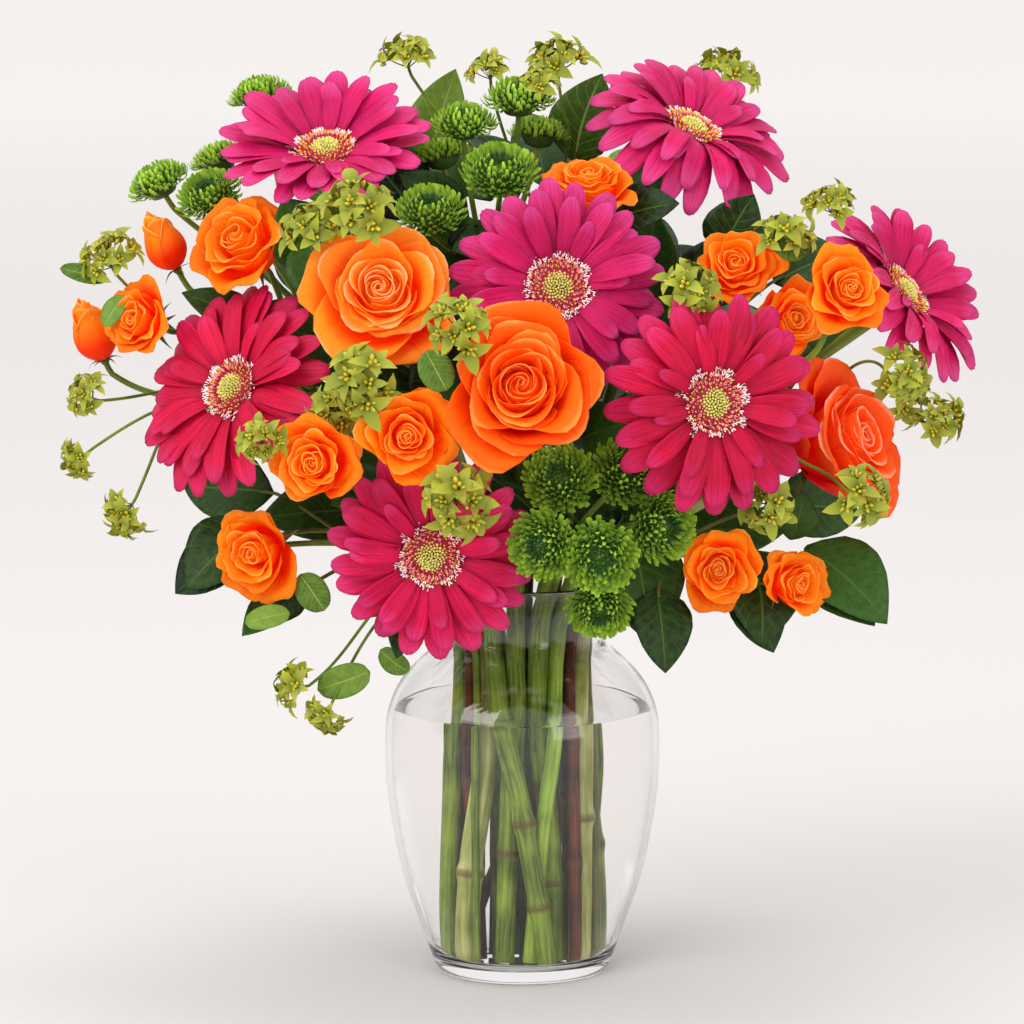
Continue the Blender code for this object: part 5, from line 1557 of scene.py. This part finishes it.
def leaves_round(layers, arc, seed, outward, scatter):
    """Base, tip and half width of leaves set round the bunch, by how far they point outwards and how they stray."""
    chance = np.random.default_rng(seed)
    rows = []
    for count, out, height, length, half in layers:
        for k in range(count):
            angle = math.radians(arc[0] + (arc[1] - arc[0]) * (k + 0.5 + chance.uniform(-0.3, 0.3)) / count)
            way = np.array([math.cos(angle), math.sin(angle), 0.0])
            base = way * (out - 0.030) + [0, 0, height - 0.012 + chance.uniform(-0.01, 0.01)]
            side = np.array([-way[1], way[0], 0.0]) * chance.uniform(-2, 2) * scatter
            rise = np.array([0, 0, 0.75 * (height - 0.28) / 0.115 + chance.uniform(-1, 1) * scatter])
            rows.append((base, base + unit(way * outward + side + rise) * length, half * chance.uniform(0.85, 1.1)))
    return rows


# ---------------------------------------------------------------- vase and water

def fine_profile():
    """The vase's outside as a smooth line from its foot to its lip."""
    return smooth_line(VASE_OUTSIDE, 0.003)


def vase_mesh(steps):
    outside = [(r, z) for r, z in fine_profile()]
    lip_r, lip_z = outside[-1]
    lip = [
        (lip_r + 0.0004, lip_z + 0.0008), (lip_r - 0.0003, lip_z + 0.0020), (lip_r - 0.0015, lip_z + 0.0026),
        (lip_r - 0.0026, lip_z + 0.0018), (lip_r - 0.0029, lip_z),
    ]
    inside = [(float(np.interp(z, *np.array(outside).T[::-1])) - VASE_WALL, z) for _, z in outside[::-1] if z > 0.016]
    heel = inside[-1][0]
    floor = [(heel - 0.0012, 0.0128), (heel - 0.0040, 0.0098), (heel - 0.0085, 0.0078), (heel - 0.0200, 0.0072)]
    floor.append((0.0, 0.0070))
    foot = [(0.0, 0.0016), (0.0300, 0.0014), (0.0345, 0.0006), (0.0370, 0.0), (0.0400, 0.0002)]
    return turned_mesh("vase", foot + outside[1:] + lip + inside[1:] + floor, steps)


# Real water bends light more (1.33). This much spreads the stems as seen, without a break at the water line.
WATER_IOR = 1.10


def water_mesh(steps):
    outside = np.array(fine_profile())
    side = [
        (float(np.interp(z, outside[:, 1], outside[:, 0])) - VASE_WALL - 0.0003, z)
        for z in np.linspace(0.017, WATER_LEVEL, 40)
    ]
    heel = side[0][0]
    floor = [(0.0, 0.0073), (heel - 0.0205, 0.0075), (heel - 0.0090, 0.0081), (heel - 0.0044, 0.0101)]
    top = side[-1][0]
    # The surface climbs a little where it meets the glass.
    edge = [(top - back, WATER_LEVEL + up) for back, up in ((0, 0.0012), (0.0012, 0.0004), (0.0035, 0), (top, 0))]
    return turned_mesh("water", floor + side + edge, steps)


# ---------------------------------------------------------------- stage

# Lamps: place, height of the point they are turned to, side, and share of the main power.
LAMPS = {
    "key": ((-1.7, -1.9, 2.1), 0.25, 1.7, 1.0),
    "fill": ((2.0, -2.4, 1.2), 0.25, 1.6, 0.45),
    "top": ((0.2, 0.5, 2.6), 0.30, 1.4, 0.42),
}


def aimed(data, place, target):
    """A lamp or camera at a place, turned to a target."""
    obj = bpy.data.objects.new(data.name, data)
    obj.location = place
    obj.rotation_euler = (Vector(target) - Vector(place)).to_track_quat("-Z", "Y").to_euler()
    bpy.context.scene.collection.objects.link(obj)
    return obj


def floor_mesh():
    """A round flat floor that reaches past the camera's view on every side."""
    angle = np.linspace(0.0, 2 * math.pi, 64, endpoint=False)
    out = np.array([40.0, 8.0, 2.0, 0.5, 0.02])[:, None]
    grid = np.stack(np.broadcast_arrays(out * np.cos(angle), out * np.sin(angle), 0.0), axis=-1)
    return one_sheet("floor", grid, closed=True)


CAMERA_TARGET = (-0.0052, 0.0, 0.2330)
CAMERA_PLACE = (-0.0052, -2.9710, 0.6505)
CAMERA_LENS = 210.9


def build_stage(settings):
    scene = bpy.context.scene
    ground = bpy.data.objects.new("studio_floor", floor_mesh())
    ground.data.materials.append(finish_named(painted_floor, "#D6D2CF", "#DEDAD8", "#FCF8F5"))
    scene.collection.objects.link(ground)
    for name, (place, height, side, share) in LAMPS.items():
        lamp = bpy.data.lights.new(name, "AREA")
        lamp.size, lamp.energy = side, settings.key_power * share
        aimed(lamp, place, (0, 0, height))
    scene.world = bpy.data.worlds.new("studio")
    scene.world.use_nodes = True
    sky = scene.world.node_tree.nodes["Background"].inputs
    sky["Color"].default_value = linear("#F6F5F6")
    sky["Strength"].default_value = settings.sky_strength
    lens = bpy.data.cameras.new("camera")
    lens.lens, lens.clip_end = CAMERA_LENS, 50.0
    scene.camera = aimed(lens, CAMERA_PLACE, CAMERA_TARGET)
    scene.view_settings.view_transform = "Standard"


# ---------------------------------------------------------------- add-on

class BouquetSettings(bpy.types.PropertyGroup):
    """Sizes, colours and light of the bouquet."""

    vase_steps: IntProperty(
        name="Vase steps", description="Faces round the vase and the water", default=96, min=24, max=256
    )
    gerbera_petals: IntProperty(
        name="Gerbera petals", description="Petals in the outer ring of a gerbera", default=20, min=12, max=40
    )
    umbellets: IntProperty(
        name="Umbellets", description="Small clusters in each bupleurum umbel", default=8, min=3, max=20
    )
    gerbera_hue: FloatProperty(
        name="Gerbera hue", description="Turns the gerberas' colours; 0.5 keeps them", default=0.5, min=0.0, max=1.0
    )
    spray_rose_face: FloatVectorProperty(
        name="Spray rose", description="Colour on the face of the spray roses' petals", default=linear("#FF9614")[:3],
        min=0.0, max=1.0, subtype="COLOR"
    )
    mum_tip: FloatVectorProperty(
        name="Mum tips", description="Colour at the tips of the button mums' florets", default=linear("#B4DC46")[:3],
        min=0.0, max=1.0, subtype="COLOR"
    )
    glass_tint: FloatVectorProperty(
        name="Glass", description="Tint of the vase's glass", default=linear("#F9F8F7")[:3],
        min=0.0, max=1.0, subtype="COLOR"
    )
    key_power: FloatProperty(
        name="Key light", description="Power of the main light", default=42.0, min=0.0, unit="POWER"
    )
    sky_strength: FloatProperty(
        name="Sky", description="Strength of the even light from all round", default=1.02, min=0.0, max=4.0
    )


class BOUQUET_OT_vase(bpy.types.Operator):
    """Makes the clear glass vase"""

    bl_idname = "bouquet.vase"
    bl_label = "Vase"

    def execute(self, context):
        settings = context.scene.bouquet
        mesh = vase_mesh(settings.vase_steps)
        mesh.materials.append(finish_named(clear_glass, tuple(settings.glass_tint), 1.42))
        piece("vase_glass_body", mesh, "vase_glass", "vase")
        return {"FINISHED"}


class BOUQUET_OT_water(bpy.types.Operator):
    """Makes the water in the vase"""

    bl_idname = "bouquet.water"
    bl_label = "Water"

    def execute(self, context):
        settings = context.scene.bouquet
        mesh = water_mesh(settings.vase_steps)
        mesh.materials.append(finish_named(clear_glass, "#FFFFFF", WATER_IOR))
        piece("vase_water_body", mesh, "water", "water")
        return {"FINISHED"}


class BOUQUET_OT_stems(bpy.types.Operator):
    """Makes every stem and branch along its settled route"""

    bl_idname = "bouquet.stems"
    bl_label = "Stems"

    def execute(self, context):
        slots = {
            "gerbera": ("gerbera_stem", "_stem"), "rose": ("rose_stem", "_stem"), "spray_rose": ("rose_stem", "_stem"),
            "mum_spray": ("mum_florets", ""), "bupleurum": ("bupleurum", ""), "leaf_branch": ("salal_leaf", ""),
        }
        for plant in STEM_LOOKS:
            slot, ending = slots[plant.rsplit("_", 1)[0]]
            piece(f"{plant}_stalk", plant_stems(plant), slot, plant + ending)
        return {"FINISHED"}


class BOUQUET_OT_gerberas(bpy.types.Operator):
    """Makes the seven gerberas: petals, disc and green cup"""

    bl_idname = "bouquet.gerberas"
    bl_label = "Gerberas"

    def execute(self, context):
        settings = context.scene.bouquet
        for n in range(1, len(GERBERAS) + 1):
            gerbera(n, settings)
        return {"FINISHED"}


class BOUQUET_OT_roses(bpy.types.Operator):
    """Makes the three large roses"""

    bl_idname = "bouquet.roses"
    bl_label = "Roses"

    def execute(self, context):
        for n in range(1, len(ROSES) + 1):
            rose(n)
        return {"FINISHED"}


class BOUQUET_OT_spray_roses(bpy.types.Operator):
    """Makes the spray roses"""

    bl_idname = "bouquet.spray_roses"
    bl_label = "Spray roses"

    def execute(self, context):
        settings = context.scene.bouquet
        for n in range(1, len(SPRAY_ROSES) + 1):
            spray_rose(n, settings)
        return {"FINISHED"}


class BOUQUET_OT_mums(bpy.types.Operator):
    """Makes the green button mums"""

    bl_idname = "bouquet.mums"
    bl_label = "Button mums"

    def execute(self, context):
        settings = context.scene.bouquet
        for n, row in enumerate(MUM_SPRAYS, 1):
            heads = [mum_head(*end, 11 * n + 3 * k, tuple(settings.mum_tip)) for k, end in enumerate(row[4])]
            piece(f"mum_spray_{n}_heads", merged("heads", heads), "mum_florets", f"mum_spray_{n}")
        return {"FINISHED"}


class BOUQUET_OT_bupleurum(bpy.types.Operator):
    """Makes the bupleurum umbels and their round leaves"""

    bl_idname = "bouquet.bupleurum"
    bl_label = "Bupleurum"

    def execute(self, context):
        settings = context.scene.bouquet
        for n, row in enumerate(BUPLEURUM, 1):
            umbels = [umbel(*end, 9 * n + k, settings.umbellets) for k, end in enumerate(row[4])]
            piece(f"bupleurum_{n}_umbels", merged("umbels", umbels), "bupleurum", f"bupleurum_{n}")
        extra = [umbel(*end, 60 + k, settings.umbellets) for k, end in enumerate(FILLING_UMBELS)]
        piece("filling_umbels", merged("filling_umbels", extra), "bupleurum")
        rounds = leaves(ROUND_LEAVES, True, 300, fold=0.10, droop=0.05, round_end=True)
        piece("round_leaves", thickened(merged("round_leaves", rounds), 0.0003), "bupleurum")
        return {"FINISHED"}


class BOUQUET_OT_leaves(bpy.types.Operator):
    """Makes the broad leaves on their branches and those that fill in between the blooms"""

    bl_idname = "bouquet.leaves"
    bl_label = "Leaves"

    def execute(self, context):
        for n, row in enumerate(LEAF_BRANCHES, 1):
            blades = leaves(row[4], n in (1, 2), 40 * n)
            blades = thickened(merged("blades", blades), LEAF_THICKNESS)
            piece(f"leaf_branch_{n}_leaves", blades, "salal_leaf", f"leaf_branch_{n}")
        blades = leaves(FILLING_LEAVES, False, 700)
        piece("filling_leaves", thickened(merged("filling_leaves", blades), LEAF_THICKNESS), "salal_leaf")
        for name, layers, arc, seed, outward, scatter in (
            ("back", BACK_LEAVES, BACK_ARC, 12, 1.0, 0.3), ("core", CORE_LEAVES, CORE_ARC, 31, 0.35, 0.9),
        ):
            blades = leaves(leaves_round(layers, arc, seed, outward, scatter), False, 75 * seed)
            piece(f"{name}_leaves", thickened(merged("blades", blades), LEAF_THICKNESS), "salal_leaf")
        return {"FINISHED"}


class BOUQUET_OT_stage(bpy.types.Operator):
    """Makes the floor, the light and the camera"""

    bl_idname = "bouquet.stage"
    bl_label = "Stage"

    def execute(self, context):
        settings = context.scene.bouquet
        build_stage(settings)
        return {"FINISHED"}


OPERATORS = (
    BOUQUET_OT_vase, BOUQUET_OT_water, BOUQUET_OT_stems, BOUQUET_OT_gerberas, BOUQUET_OT_roses,
    BOUQUET_OT_spray_roses, BOUQUET_OT_mums, BOUQUET_OT_bupleurum, BOUQUET_OT_leaves, BOUQUET_OT_stage,
)


class BOUQUET_PT_panel(bpy.types.Panel):
    """Lists the bouquet's pieces and settings"""

    bl_label = "Bouquet"
    bl_idname = "BOUQUET_PT_panel"
    bl_space_type = "VIEW_3D"
    bl_region_type = "UI"
    bl_category = "Bouquet"

    def draw(self, context):
        settings = context.scene.bouquet
        for name in settings.__annotations__:
            self.layout.prop(settings, name)
        for operator in OPERATORS:
            self.layout.operator(operator.bl_idname)


CLASSES = (BouquetSettings, *OPERATORS, BOUQUET_PT_panel)


def register():
    for each in CLASSES:
        bpy.utils.register_class(each)
    bpy.types.Scene.bouquet = PointerProperty(type=BouquetSettings)


def unregister():
    del bpy.types.Scene.bouquet
    for each in reversed(CLASSES):
        bpy.utils.unregister_class(each)


def main():
    register()
    for operator in OPERATORS:
        group, name = operator.bl_idname.split(".")
        getattr(getattr(bpy.ops, group), name)()
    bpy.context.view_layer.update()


if __name__ == "__main__":
    main()
